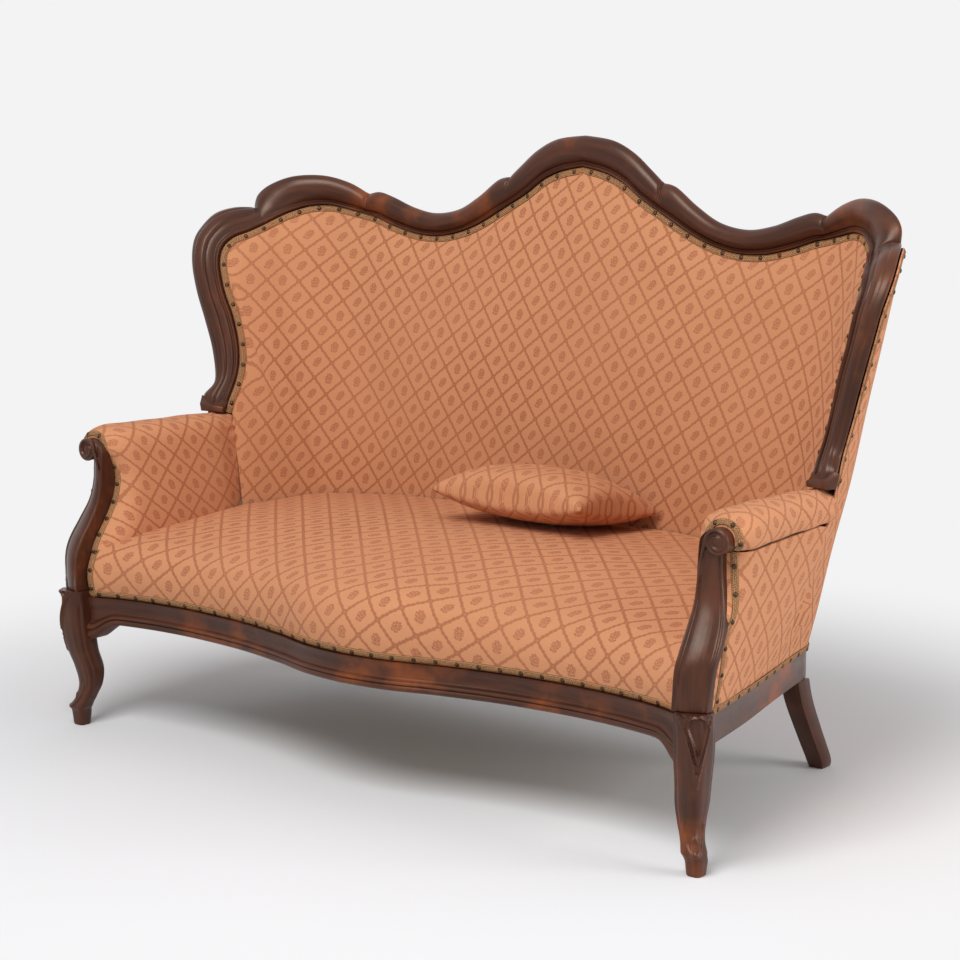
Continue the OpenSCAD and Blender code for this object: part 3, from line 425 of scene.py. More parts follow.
def ripples(points, size, height, seed):
    """Soft unevenness of hand-stuffed work, in millimetres."""
    rng = np.random.default_rng(seed)
    value = np.zeros(points.shape[:-1])
    for _ in range(14):
        wave = rng.normal(size=3)
        wave *= rng.uniform(0.6, 1.6) / size / np.linalg.norm(wave)
        value += np.sin(points @ wave * 2 * math.pi + rng.uniform(0, 6.28))
    return value / 14 ** 0.5 * height


def mirrored_copy(obj, name):
    """The left twin of a right-hand piece, with its own mesh."""
    twin = obj.copy()
    twin.data = obj.data.copy()
    twin.name = twin.data.name = name
    bpy.context.scene.collection.objects.link(twin)
    co = np.zeros(len(twin.data.vertices) * 3, np.float32)
    twin.data.vertices.foreach_get("co", co)
    co = co.reshape(-1, 3) * (-1, 1, 1)
    twin.data.vertices.foreach_set("co", co.astype(np.float32).ravel())
    edit(twin, lambda: bpy.ops.mesh.flip_normals())
    return twin


def dress(obj, material, nodes=(), body="sofa"):
    obj.data.materials.clear()
    obj.data.materials.append(material)
    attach(obj, body)
    if nodes:
        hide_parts(*nodes)
    return obj


def dress_pair(right, material, node=None):
    """Dresses a right-hand piece and its left twin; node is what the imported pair's names share."""
    left = mirrored_copy(right, right.name.replace("_right", "_left"))
    for obj, side in ((right, "_right"), (left, "_left")):
        dress(obj, material, [node + side] if node else ())
    return right, left


# Materials


class Wiring:
    """Adds nodes to a material with few words."""

    def __init__(self, name):
        self.material = bpy.data.materials.new(name)
        self.material.use_nodes = True
        self.tree = self.material.node_tree
        self.tree.nodes.clear()
        self.shader = self.tree.nodes.new("ShaderNodeBsdfPrincipled")
        self.surface = self.tree.nodes.new("ShaderNodeOutputMaterial").inputs["Surface"]
        self.tree.links.new(self.shader.outputs[0], self.surface)

    @classmethod
    def of_tree(cls, tree):
        """Wiring for a tree that has its own nodes, such as the world's."""
        w = cls.__new__(cls)
        w.tree = tree
        return w

    def put(self, socket, value):
        if isinstance(value, bpy.types.NodeSocket):
            self.tree.links.new(value, socket)
        else:
            socket.default_value = value

    def math(self, op, *values):
        node = self.tree.nodes.new("ShaderNodeMath")
        node.operation = op
        for socket, value in zip(node.inputs, values):
            self.put(socket, value)
        return node.outputs[0]

    def add(self, a, b):
        return self.math("ADD", a, b)

    def mul(self, a, b):
        return self.math("MULTIPLY", a, b)

    def sub(self, a, b):
        return self.math("SUBTRACT", a, b)

    def most(self, *values):
        top = values[0]
        for value in values[1:]:
            top = self.math("MAXIMUM", top, value)
        return top

    def fade(self, value, low, high, bottom=0.0, top=1.0):
        node = self.tree.nodes.new("ShaderNodeMapRange")
        node.interpolation_type = "SMOOTHSTEP"
        for socket, v in zip(node.inputs, (value, low, high, bottom, top)):
            self.put(socket, v)
        return node.outputs[0]

    def blend(self, fac, a, b):
        node = self.tree.nodes.new("ShaderNodeMix")
        node.data_type = "RGBA"
        node.clamp_factor = True
        self.put(node.inputs[0], fac)
        for socket, value in ((node.inputs[6], a), (node.inputs[7], b)):
            self.put(socket, value if isinstance(value, bpy.types.NodeSocket) else (*value, 1.0))
        return node.outputs[2]

    def coords(self, kind):
        if kind == "flat":
            node = self.tree.nodes.new("ShaderNodeUVMap")
            node.uv_map = "flat"
            return node.outputs[0]
        return self.tree.nodes.new("ShaderNodeTexCoord").outputs[kind]

    def scaled(self, vector, scale):
        node = self.tree.nodes.new("ShaderNodeMapping")
        self.put(node.inputs["Vector"], vector)
        node.inputs["Scale"].default_value = scale
        return node.outputs[0]

    def parts(self, vector):
        node = self.tree.nodes.new("ShaderNodeSeparateXYZ")
        self.put(node.inputs[0], vector)
        return node.outputs

    def noise(self, vector, scale, detail=3.0, rough=0.5, distortion=0.0):
        node = self.tree.nodes.new("ShaderNodeTexNoise")
        self.put(node.inputs["Vector"], vector)
        node.inputs["Scale"].default_value = scale
        node.inputs["Detail"].default_value = detail
        node.inputs["Roughness"].default_value = rough
        node.inputs["Distortion"].default_value = distortion
        return node.outputs[0]

    def bump(self, height, strength, distance):
        node = self.tree.nodes.new("ShaderNodeBump")
        node.inputs["Strength"].default_value = strength
        node.inputs["Distance"].default_value = distance
        self.put(node.inputs["Height"], height)
        self.tree.links.new(node.outputs[0], self.shader.inputs["Normal"])

    def finish(self, **values):
        for name, value in values.items():
            self.put(self.shader.inputs[name.replace("_", " ")], value)
        return self.material


def lattice_cloth():
    """Woven cover cloth: a leafy lattice with a rosette at each crossing and a sprig in each diamond."""
    w = Wiring("lattice_cloth")
    flat = w.coords("flat")
    wander = w.noise(flat, 14.0, 2.0)
    x, y, _ = w.parts(flat)
    x = w.add(x, w.mul(w.sub(wander, 0.5), 0.0022))
    wide, high = sizes().lattice_width, sizes().lattice_height
    span = wide * high / math.hypot(wide, high)
    side = math.hypot(wide, high) / 2
    a = w.add(w.mul(x, 1 / wide), w.mul(y, 1 / high))
    b = w.sub(w.mul(x, 1 / wide), w.mul(y, 1 / high))
    lines = []
    for across, along in ((a, b), (b, a)):
        off = w.mul(w.sub(w.math("FRACT", w.add(across, 0.5)), 0.5), span)
        step = w.mul(along, 6.0)
        place = w.mul(w.sub(w.math("FRACT", step), 0.5), side / 6)
        sway = w.mul(w.math("SINE", w.mul(step, math.pi)), 0.0004)
        leaf = w.math("POWER", w.math("ABSOLUTE", w.mul(w.sub(off, sway), 1 / 0.0031)), 2.0)
        leaf = w.add(leaf, w.math("POWER", w.math("ABSOLUTE", w.mul(place, 1 / 0.0050)), 2.0))
        lines.append(w.fade(leaf, 0.5, 1.3, 1.0, 0.0))
        lines.append(w.fade(w.math("ABSOLUTE", off), 0.0006, 0.0018, 0.75, 0.0))
    ra = w.sub(w.math("FRACT", w.add(a, 0.5)), 0.5)
    rb = w.sub(w.math("FRACT", w.add(b, 0.5)), 0.5)
    rx = w.mul(w.add(ra, rb), wide / 2)
    ry = w.mul(w.sub(ra, rb), high / 2)
    rr = w.math("SQRT", w.add(w.mul(rx, rx), w.mul(ry, ry)))
    petals = w.math("SINE", w.mul(w.math("ARCTAN2", ry, rx), 5.0))
    rosette = w.fade(w.sub(rr, w.mul(petals, 0.0011)), 0.0038, 0.0050, 1.0, 0.0)
    eye = w.fade(rr, 0.0008, 0.0016, 0.6, 0.0)
    ca = w.sub(w.math("FRACT", a), 0.5)
    cb = w.sub(w.math("FRACT", b), 0.5)
    cx = w.mul(w.add(ca, cb), wide / 2 / 0.92)
    cy = w.mul(w.sub(ca, cb), high / 2 / 0.92)
    row = w.math("MODULO", w.math("ABSOLUTE", w.sub(w.math("FLOOR", a), w.math("FLOOR", b))), 2.0)
    lean = w.mul(row, 0.42)
    sx = w.sub(cx, w.mul(cy, lean))
    sx = w.sub(sx, w.mul(row, 0.0005))
    sy = w.add(cy, w.mul(w.mul(cx, lean), 0.6))
    mx = w.math("ABSOLUTE", sx)

    def spot(px, cx0, cy0, rx0, ry0, tilt=0.0, top=1.0):
        dx, dy = w.sub(px, cx0), w.sub(sy, cy0)
        c, s = math.cos(tilt), math.sin(tilt)
        u = w.mul(w.add(w.mul(dx, c), w.mul(dy, s)), 1 / rx0)
        v = w.mul(w.sub(w.mul(dy, c), w.mul(dx, s)), 1 / ry0)
        return w.fade(w.add(w.mul(u, u), w.mul(v, v)), 0.65, 1.35, top, 0.0)

    bloom_r = w.math("SQRT", w.add(w.mul(sx, sx), w.mul(w.sub(sy, 0.0062), w.sub(sy, 0.0062))))
    bloom_t = w.math("SINE", w.mul(w.math("ARCTAN2", w.sub(sy, 0.0062), sx), 6.0))
    bloom = w.fade(w.sub(bloom_r, w.mul(bloom_t, 0.0010)), 0.0060, 0.0074, 1.0, 0.0)
    heart = w.fade(bloom_r, 0.0014, 0.0024, 0.55, 0.0)
    motif = w.most(
        bloom,
        spot(sx, 0.0, -0.0040, 0.0016, 0.0085, 0.0, 0.9),
        spot(mx, 0.0048, -0.0022, 0.0046, 0.0025, 0.6),
        spot(mx, 0.0044, -0.0088, 0.0042, 0.0024, 0.75),
        spot(mx, 0.0074, 0.0040, 0.0022, 0.0028, -0.3, 0.8),
    )
    motif = w.sub(motif, heart)
    break_up = w.fade(w.noise(flat, 900.0, 1.0), 0.25, 0.75, 0.74, 1.0)
    fade_out = w.fade(w.noise(w.coords("Object"), 3.2, 3.0), 0.3, 0.7, 0.74, 1.0)
    lattice = w.mul(w.mul(w.sub(w.most(*lines, rosette), eye), break_up), fade_out)
    ragged = w.fade(w.noise(flat, 520.0, 2.0), 0.36, 0.60, 0.30, 1.0)
    sprig = w.mul(w.mul(motif, ragged), fade_out)
    ground = colours().cloth
    tone = w.noise(w.coords("Object"), 2.3, 4.0)
    pale = [min(1, c * k) for c, k in zip(ground, (1.08, 1.12, 1.16))]
    base = w.blend(tone, [c * 0.88 for c in ground], pale)
    cross_x = w.noise(w.scaled(flat, (1400, 160, 1)), 1.0, 2.0)
    cross_y = w.noise(w.scaled(flat, (160, 1400, 1)), 1.0, 2.0)
    slub = w.fade(w.add(cross_x, cross_y), 0.75, 1.25)
    base = w.blend(w.mul(slub, 0.35), base, [c * 0.80 for c in ground])
    colour = w.blend(w.mul(lattice, 0.86), base, colours().lattice)
    colour = w.blend(w.mul(sprig, 0.84), colour, colours().sprig)
    threads = w.add(w.mul(w.math("SINE", w.mul(x, 2 * math.pi / 0.0011)), 0.5),
                    w.mul(w.math("SINE", w.mul(y, 2 * math.pi / 0.0011)), 0.5))
    height = w.add(w.mul(threads, 0.25), w.add(slub, w.mul(w.most(lattice, sprig), 0.5)))
    w.bump(height, 0.35, 0.0004)
    rough = w.fade(slub, 0.0, 1.0, 0.78, 0.92)
    return w.finish(Base_Color=colour, Roughness=rough, Sheen_Weight=0.04, Sheen_Roughness=0.5,
                    Specular_IOR_Level=0.12)


def polished_wood(name, grain, wear=1.0):
    """French-polished mahogany: grain, old dark polish, warm wood where hands have thinned it, and painted
    shade darkening its hollows.
    """
    w = Wiring(name)
    if grain == "flat":
        flow = w.scaled(w.coords("flat"), (5.0, 70.0, 1.0))
        streak = w.scaled(w.coords("flat"), (14.0, 420.0, 1.0))
    else:
        flow = w.scaled(w.coords("Object"), (42.0, 42.0, 5.0))
        streak = w.scaled(w.coords("Object"), (300.0, 300.0, 14.0))
    figure = w.noise(flow, 1.0, 4.0, 0.55, 0.6)
    pores = w.noise(streak, 1.0, 2.0, 0.6)
    cloud = w.noise(w.coords("Object"), 7.0, 4.0, 0.6)
    patch = w.noise(w.coords("Object"), 3.1, 2.0, 0.5)
    dark, glow = colours().wood, colours().wood_glow
    colour = w.blend(w.fade(figure, 0.3, 0.75), [c * 0.62 for c in dark], [c * 1.35 for c in dark])
    worn = w.mul(w.fade(cloud, 0.46, 0.70), w.fade(patch, 0.38, 0.62))
    colour = w.blend(w.mul(worn, 0.85 * wear), colour, glow)
    colour = w.blend(w.fade(pores, 0.58, 0.74, 0.0, 0.5), colour, [c * 0.35 for c in dark])
    edge_node = w.tree.nodes.new("ShaderNodeNewGeometry")
    rub = w.mul(w.fade(edge_node.outputs["Pointiness"], 0.53, 0.60), w.fade(cloud, 0.35, 0.65))
    colour = w.blend(w.mul(rub, 0.5 * wear), colour, [c * 1.3 for c in glow])
    # Painted shade: concave places, where pointiness is low, are darkened towards a quarter of the wood
    # colour to stand in for the shade in grooves and recesses
    hollow = w.fade(edge_node.outputs["Pointiness"], 0.40, 0.49, 0.75, 0.0)
    colour = w.blend(hollow, colour, [c * 0.25 for c in dark])
    scuff = w.noise(w.coords("Object"), 60.0, 3.0)
    rough = w.add(w.fade(cloud, 0.3, 0.7, 0.30, 0.42), w.fade(scuff, 0.6, 0.8, 0.0, 0.12))
    w.bump(w.add(w.mul(pores, 0.35), w.mul(cloud, 0.8)), 0.10, 0.0012)
    return w.finish(Base_Color=colour, Roughness=rough, Coat_Weight=0.06, Coat_Roughness=0.25,
                    Specular_IOR_Level=0.36, Specular_Tint=colours().polish)


def plain_wood():
    """Sawn, unpolished frame timber."""
    w = Wiring("plain_wood")
    figure = w.noise(w.scaled(w.coords("Object"), (40, 40, 6)), 1.0, 4.0, 0.6, 0.5)
    dust = w.noise(w.coords("Object"), 9.0, 3.0)
    colour = w.blend(w.fade(figure, 0.3, 0.7), (0.30, 0.18, 0.09), (0.46, 0.30, 0.16))
    colour = w.blend(w.fade(dust, 0.4, 0.75, 0.0, 0.5), colour, (0.20, 0.14, 0.09))
    w.bump(figure, 0.25, 0.001)
    return w.finish(Base_Color=colour, Roughness=0.8)


def gimp_braid():
    """Woven scroll gimp: cream and tan threads crossing over a dark ground."""
    w = Wiring("gimp_braid")
    flat = w.coords("flat")
    x, y, _ = w.parts(flat)
    wave = w.mul(w.math("SINE", w.mul(x, 2 * math.pi / 0.0085)), 0.0026)
    one = w.math("ABSOLUTE", w.sub(y, w.add(0.0065, wave)))
    two = w.math("ABSOLUTE", w.sub(y, w.sub(0.0065, wave)))
    cords = w.most(w.fade(one, 0.0005, 0.0019, 1.0, 0.0), w.fade(two, 0.0005, 0.0019, 1.0, 0.0),
                   w.fade(w.math("ABSOLUTE", w.sub(y, 0.0016)), 0.0004, 0.0012, 0.9, 0.0),
                   w.fade(w.math("ABSOLUTE", w.sub(y, 0.0114)), 0.0004, 0.0012, 0.9, 0.0))
    fleck = w.noise(w.scaled(flat, (520, 520, 1)), 1.0, 2.0, 0.6)
    light = colours().braid
    colour = w.blend(cords, [c * 0.34 for c in light], [min(1, c * 1.2) for c in light])
    soot = [c * k for c, k in zip(light, (0.30, 0.26, 0.30))]
    colour = w.blend(w.fade(fleck, 0.42, 0.60, 0.0, 0.85), colour, soot)
    age = w.noise(w.coords("Object"), 11.0, 3.0)
    yellowed = [c * k for c, k in zip(light, (1.1, 0.8, 0.7))]
    colour = w.blend(w.fade(age, 0.45, 0.75, 0.0, 0.4), colour, yellowed)
    w.bump(w.add(cords, w.mul(fleck, 0.5)), 0.6, 0.0012)
    return w.finish(Base_Color=colour, Roughness=0.85, Specular_IOR_Level=0.2)


def aged_nail():
    """Bronzed nail heads with rubbed tops."""
    w = Wiring("aged_nail")
    spot = w.noise(w.coords("Object"), 230.0, 2.0)
    dark = colours().nail
    colour = w.blend(w.fade(spot, 0.4, 0.7), dark, [c * k for c, k in zip(dark, (2.4, 2.2, 1.8))])
    w.bump(spot, 0.2, 0.0004)
    return w.finish(Base_Color=colour, Metallic=0.75, Roughness=w.fade(spot, 0.3, 0.7, 0.34, 0.5))


def woven_ground(name, light, dark, thread):
    """Coarse plain weave of jute: webbing and hessian."""
    w = Wiring(name)
    x, y, z = w.parts(w.coords("Object"))
    one = w.math("SINE", w.mul(x, 2 * math.pi / thread))
    two = w.math("SINE", w.mul(w.add(y, z), 2 * math.pi / thread))
    weave = w.add(w.mul(w.mul(one, two), 0.5), 0.5)
    fuzz = w.noise(w.coords("Object"), 260.0, 3.0)
    colour = w.blend(w.mul(w.add(weave, fuzz), 0.5), dark, light)
    w.bump(weave, 0.5, 0.001)
    return w.finish(Base_Color=colour, Roughness=0.92, Specular_IOR_Level=0.15)


def spring_steel():
    w = Wiring("spring_steel")
    rust = w.noise(w.coords("Object"), 90.0, 4.0)
    colour = w.blend(w.fade(rust, 0.45, 0.7), (0.20, 0.17, 0.15), (0.16, 0.07, 0.035))
    w.bump(rust, 0.2, 0.0005)
    return w.finish(Base_Color=colour, Metallic=w.fade(rust, 0.4, 0.7, 0.9, 0.3), Roughness=0.5)


FINISHES = {}


def finish_named(name):
    makers = {
        "cloth": lattice_cloth,
        "wood": lambda: polished_wood("polished_wood_run", "flat"),
        "carved": lambda: polished_wood("polished_wood_carved", "object", 1.2),
        "frame": plain_wood,
        "gimp": gimp_braid,
        "nail": aged_nail,
        "webbing": lambda: woven_ground("jute_webbing", (0.48, 0.38, 0.24), (0.24, 0.17, 0.10), 0.003),
        "hessian": lambda: woven_ground("jute_hessian", (0.46, 0.35, 0.20), (0.20, 0.14, 0.08), 0.002),
        "spring": spring_steel,
    }
    if name not in FINISHES:
        FINISHES[name] = makers[name]()
    return FINISHES[name]


# Show-wood back

CREASES = [(CREST_END, 5.0, 0.16), (SHOULDER_END, 5.0, 0.18), (EAR_END, 4.0, 0.14)]


def moulding_ring(s, section):
    """Section of the moulding at station s, with its carved creases and the wings' groove."""
    inner, outer, n = edge(1, s), edge(0, s), face_normal(s)
    across, rise = np.asarray(section, float).T
    lift = rise * FRAME_DEPTH * np.where(rise < 0, timber_share(s), 1)
    cut = np.zeros(len(across))
    for at, deep, wide in CREASES:
        skew = at + 0.22 * (0.9 - across)
        cut += deep * np.exp(-((abs(s) - skew) / wide) ** 2) * smoothstep(0.25, 0.75, across)
    groove = float(smoothstep(EAR_END + 0.1, EAR_END + 0.6, abs(s)))
    cut += groove * 3.6 * np.exp(-((across - 0.46) / 0.035) ** 2)
    cut += groove * 2.4 * np.exp(-((across - 0.80) / 0.03) ** 2)
    lift -= cut * smoothstep(-0.5, -0.1, rise)
    return inner + np.outer(across, outer - inner) + np.outer(lift, n)


def dense_section(count):
    fine = np.array(smooth_line(MOULDING, 300))
    steps = np.linalg.norm(np.diff(fine * (1.25, 1), axis=0), axis=1)
    weight = steps * np.where(fine[1:, 1] > -0.35, 3.0, 1.0)
    place = np.concatenate([[0], np.cumsum(weight)])
    want = np.linspace(0, place[-1], count)
    return np.stack([np.interp(want, place, fine[:, 0]), np.interp(want, place, fine[:, 1])], axis=1)


def run_stations(start, end, step=0.12, fine=0.035, near=0.45):
    """Stations along a run, closer together beside the creases."""
    stops, s = [start], start
    while s < end - 1e-6:
        close = min(abs(abs(s) - at) for at, _, _ in CREASES)
        s = min(end, s + (fine if close < near else step))
        stops.append(s)
    if stops[-1] - stops[-2] < fine / 2:
        stops.pop(-2)
    return stops


class SOFA_OT_show_wood_back(bpy.types.Operator):
    """Carved serpentine crest, shoulders, ears and wings"""

    bl_idname = "sofa.show_wood_back"
    bl_label = "Show-wood back"

    def execute(self, context):
        section = dense_section(64)
        crest = loft("crest", [moulding_ring(s, section) for s in run_stations(-CREST_END, CREST_END)])
        dress(crest, finish_named("wood"), ["crest_centre"])
        smooth(crest, 40)
        for name, node, start, end in (("shoulder", "crest_shoulder", CREST_END, SHOULDER_END),
                                       ("ear", "crest_ear", SHOULDER_END, EAR_END),
                                       ("wing", "wing_moulding", EAR_END, WING_END)):
            right = loft(name + "_right", [moulding_ring(s, section) for s in run_stations(start, end)])
            smooth(right, 40)
            dress_pair(right, finish_named("wood"), node)
        return {"FINISHED"}


# Front rail


def rail_ring(x):
    """Section of the front rail at x, with its moulded face."""
    bead = RAIL_BEAD
    y = -rail_plan(x)
    drop = 34 * float(smoothstep(640, 716, abs(x))) ** 2
    low = RAIL_BOTTOM - drop
    face = RAIL_TOP - low
    front = [
        (0, 1), (-0.25, 0.96), (-0.5, 0.88), (-0.9, 0.76), (-1.2, 0.66), (-1.35, 0.56), (-1.3, 0.47),
        (-1.0, 0.42), (-0.5, 0.39), (0.2, 0.375), (0.7, 0.35), (0.95, 0.31), (0.9, 0.265),
        (0.55, 0.235), (0.25, 0.225), (0.45, 0.2), (0.8, 0.165), (0.9, 0.12), (0.75, 0.07),
        (0.4, 0.03), (0, 0),
    ]
    body = [(x, y + RAIL_THICK, low), (x, y + RAIL_THICK, RAIL_TOP + 20),
            (x, y + 17, RAIL_TOP + 20), (x, y + 17, RAIL_TOP)]
    return body + [(x, y - out * bead, low + share * face) for out, share in front]


class SOFA_OT_front_rail(bpy.types.Operator):
    """Serpentine front rail with a moulded face"""

    bl_idname = "sofa.front_rail"
    bl_label = "Front rail"

    def execute(self, context):
        rail = loft("front_rail_carved", [rail_ring(x) for x in np.linspace(-722, 722, 181)])
        smooth(rail, 40)
        dress(rail, finish_named("wood"), ["front_rail"])
        return {"FINISHED"}


# Covers


@lru_cache(maxsize=None)
def back_foot_at(s):
    s = abs(s)
    at = (s / 4 if s <= CREST_END else 1 + (s - 4) / 4 if s <= SHOULDER_END
          else 3 + (s - 12) / 6 if s <= EAR_END else 4 + 2 * ((s - 18) / 11) ** 3.5)
    return catmull(BACK_FOOT, at)


EDGE_SINK = 5.0
WING_WAY = unit((-8, 10, -3))


def wing_share(s):
    return float(np.clip((s - EAR_END) / (WING_END - EAR_END), 0, 1))


@lru_cache(maxsize=None)
def inside_edge(s):
    inset = lerp(1.5, 4, math.sin(math.pi * wing_share(s)))
    return edge(1, s) - unit(edge(0, s) - edge(1, s)) * inset - face_normal(s) * EDGE_SINK


def inside_point(s, v):
    top, foot = inside_edge(s), back_foot_at(s) - (0, 0, 25)
    wing = wing_share(s)
    puff = 14 * (1 - wing ** 4) * (math.sin(math.pi / 2 * min(1, v / 0.16)) ** 0.8 * (1 - v)
                                   + math.sin(math.pi * v) * 0.9)
    hollow = WING_WAY * 26 * math.sin(math.pi * wing) * math.sin(math.pi * math.sqrt(v))
    return lerp(top, foot, v) + unit(face_normal(s) + (0, -1, 0)) * puff + hollow


def inside_column(s, shares):
    wide = sizes().gimp_width / MM + 1
    first = wide / np.linalg.norm(inside_point(s, 1) - inside_point(s, 0))
    if s == 0:
        step = inside_point(0, first)
    else:
        run = unit(inside_edge(min(s + 0.25, WING_END)) - inside_edge(max(s - 0.25, 0)))
        way = WING_WAY if s > EAR_END + 3 else inside_point(s, 0.2) - inside_edge(s)
        step = inside_edge(s) + unit(way - run * (way @ run)) * wide
    shift = step - inside_point(s, first)
    body = [inside_point(s, lerp(first, 1, v)) + shift * (1 - v) for v in shares]
    return [inside_point(s, 0), lerp(inside_point(s, 0), body[0], 0.5)] + body


GRID_STEPS = (
    ((slice(None, -1), slice(None)), (slice(1, None), slice(None))),
    ((slice(None), slice(None, -1)), (slice(None), slice(1, None))),
)
NORMAL_PASSES = 4
CLOTH_ROUNDS = 900


def cloth_map(g, up=(0, 0, 1)):
    """Cloth coordinates of a grid with the least strain, its warp kept upright, in metres."""
    n = grid_normals(g)
    for _ in range(NORMAL_PASSES):
        n = (n + np.roll(n, 1, 0) + np.roll(n, -1, 0) + np.roll(n, 1, 1) + np.roll(n, -1, 1)) / 5
    aside = np.cross(np.array(up, float), n)
    aside /= np.maximum(np.linalg.norm(aside, axis=2, keepdims=True), 1e-6)
    along = np.gradient(g, axis=1)
    aside *= np.where((aside * along).sum(2, keepdims=True) < 0, -1, 1)
    warp = np.cross(aside, n)
    warp /= np.maximum(np.linalg.norm(warp, axis=2, keepdims=True), 1e-6)
    warp *= np.where(warp @ np.array(up, float) < 0, -1, 1)[..., None]
    flat = np.zeros(g.shape[:2] + (2,))
    steps = []
    for axis, (near, far) in enumerate(GRID_STEPS):
        move = np.diff(g, axis=axis)
        want = np.stack([(move * (way[near] + way[far]) / 2).sum(2) for way in (aside, warp)], axis=-1)
        weight = 1 / np.maximum((move ** 2).sum(2), 1.0)[..., None]
        steps.append((near, far, want, weight))

    def laplace(x):
        out = np.zeros_like(x)
        for near, far, _, weight in steps:
            pull = weight * (x[far] - x[near])
            out[far] += pull
            out[near] -= pull
        return out

    rest = np.zeros_like(flat)
    for near, far, want, weight in steps:
        rest[far] += weight * want
        rest[near] -= weight * want
    ease = laplace_diagonal(g.shape[:2], steps)
    z = rest / ease
    way, size = z.copy(), (rest * z).sum((0, 1))
    for _ in range(CLOTH_ROUNDS):
        load = laplace(way)
        share = size / np.maximum((way * load).sum((0, 1)), 1e-30)
        flat += share * way
        rest = rest - share * load
        z = rest / ease
        fresh = (rest * z).sum((0, 1))
        way = z + way * (fresh / np.maximum(size, 1e-30))
        size = fresh
    return (flat - flat[-1, g.shape[1] // 2]) * MM


def laplace_diagonal(shape, steps):
    """Total weight of the steps that meet at each point of a grid."""
    total = np.zeros(shape + (1,))
    for near, far, _, weight in steps:
        total[far] += weight
        total[near] += weight
    return total


def cut_cloth(flat, across, down):
    """Cloth laid so that its lattice repeats along these two directions, in millimetres."""
    turn = np.linalg.inv(np.array([across, down], float) * MM)
    return flat @ turn @ np.diag([sizes().lattice_width, -sizes().lattice_height])


class SOFA_OT_inside_back(bpy.types.Operator):
    """Stuffed inside back that runs round into the wings"""

    bl_idname = "sofa.inside_back"
    bl_label = "Inside back"

    def execute(self, context):
        stations = np.concatenate(
            [np.arange(0, EAR_END, 0.34), np.arange(EAR_END, WING_END, 0.25), [WING_END]])
        shares = np.linspace(0, 1, 30) ** 1.25
        right = np.array([inside_column(s, shares) for s in stations]).transpose(1, 0, 2)
        g = both_sides(right)
        n = grid_normals(g)
        swell = smoothstep(1, 6, np.arange(len(g)))[:, None, None]
        g = g - n * (ripples(g, 260, 1.6, 3)[..., None] * swell)
        uv = cut_cloth(cloth_map(g), (64, -5), (-16, -67))
        back = shell("inside_back", g, g + n * COVER * 2, uv)
        smooth(back, 60)
        dress(back, finish_named("cloth"), ["inside_back_cover", "inside_back_stuffing"])
        return {"FINISHED"}


SEAT_HALF = 719.0


def seat_front_point(u, row):
    x = u * np.interp(row[1], [60, 110, 121], [SEAT_HALF, SEAT_HALF - 2, SEAT_HALF - 10])
    return np.array([x, -rail_plan(x) + row[0], RAIL_TOP + row[1] - 14 * u ** 4 * row[1] / 121])


def seat_back_point(u):
    foot = catmull(BACK_FOOT, 6 * abs(u) ** 0.85)
    return foot * (np.sign(u) or 1, 1, 1) - (4 * u, 7, 0)


def seat_column(u, border, shares):
    front, back = seat_front_point(u, border[-1]), seat_back_point(u)
    deck = []
    for v in shares:
        near = (1 - min(1, v / 0.3)) ** 2
        aside = np.sign(u) * abs(u) ** 6 * lerp(0, 34, min(1, v / 0.1)) * near
        deck.append(lerp(front, back, v) + (aside, 0, 26 * (1 - u ** 4) * math.sin(math.pi * v ** 0.8)))
    return [seat_front_point(u, row) for row in border] + deck


@lru_cache(maxsize=None)
def seat_grid():
    border = smooth_line(BORDER, 26)
    shares = np.linspace(0, 1, 34)[1:]
    g = np.array([seat_column(u, border, shares) for u in np.linspace(-1, 1, 141)]).transpose(1, 0, 2)
    n = grid_normals(g)
    return g + n * (ripples(g, 220, 1.8, 8)[..., None] * smoothstep(4, 20, np.arange(len(g)))[:, None, None])


class SOFA_OT_seat(bpy.types.Operator):
    """Sprung and stuffed seat with its front border"""

    bl_idname = "sofa.seat"
    bl_label = "Seat"

    def execute(self, context):
        g = seat_grid()
        n = grid_normals(g)
        lengths = np.linalg.norm(np.diff(g[:, :, 1:], axis=0), axis=2)
        t = g[-1:, :, 1] - np.concatenate([np.cumsum(lengths[::-1], axis=0)[::-1], np.zeros((1, g.shape[1]))])
        uv = cut_cloth(np.stack([g[..., 0], t], axis=-1) * MM, (76, -1), (-6, -73))
        seat = shell("seat", g, g - n * COVER * 2, uv)
        smooth(seat, 60)
        dress(seat, finish_named("cloth"), ["seat_cover", "seat_stuffing"])
        return {"FINISHED"}


# Side rails and back legs


def side_inward(i):
    plan = np.array(SIDE_PLAN, float)
    run = unit(plan[min(i + 1, len(plan) - 1)] - plan[max(i - 1, 0)])
    return np.array([-run[1], run[0]])


def side_foot(s):
    """Point on the top outer edge of the side rail, at station s of its plan."""
    p = catmull(SIDE_PLAN, s)
    k = int(min(math.floor(s), len(SIDE_PLAN) - 2))
    out = lerp(side_inward(k), side_inward(k + 1), s - k)
    return np.array([p[0] - out[0], p[1] - out[1], side_top(p[1]) + 0.3])


def bevelled(obj, width, segments=2):
    make_active(obj)
    mod = obj.modifiers.new("eased", "BEVEL")
    mod.width, mod.segments, mod.limit_method = width * MM, segments, "ANGLE"
    mod.angle_limit = math.radians(50)
    bpy.ops.object.modifier_apply(modifier=mod.name)


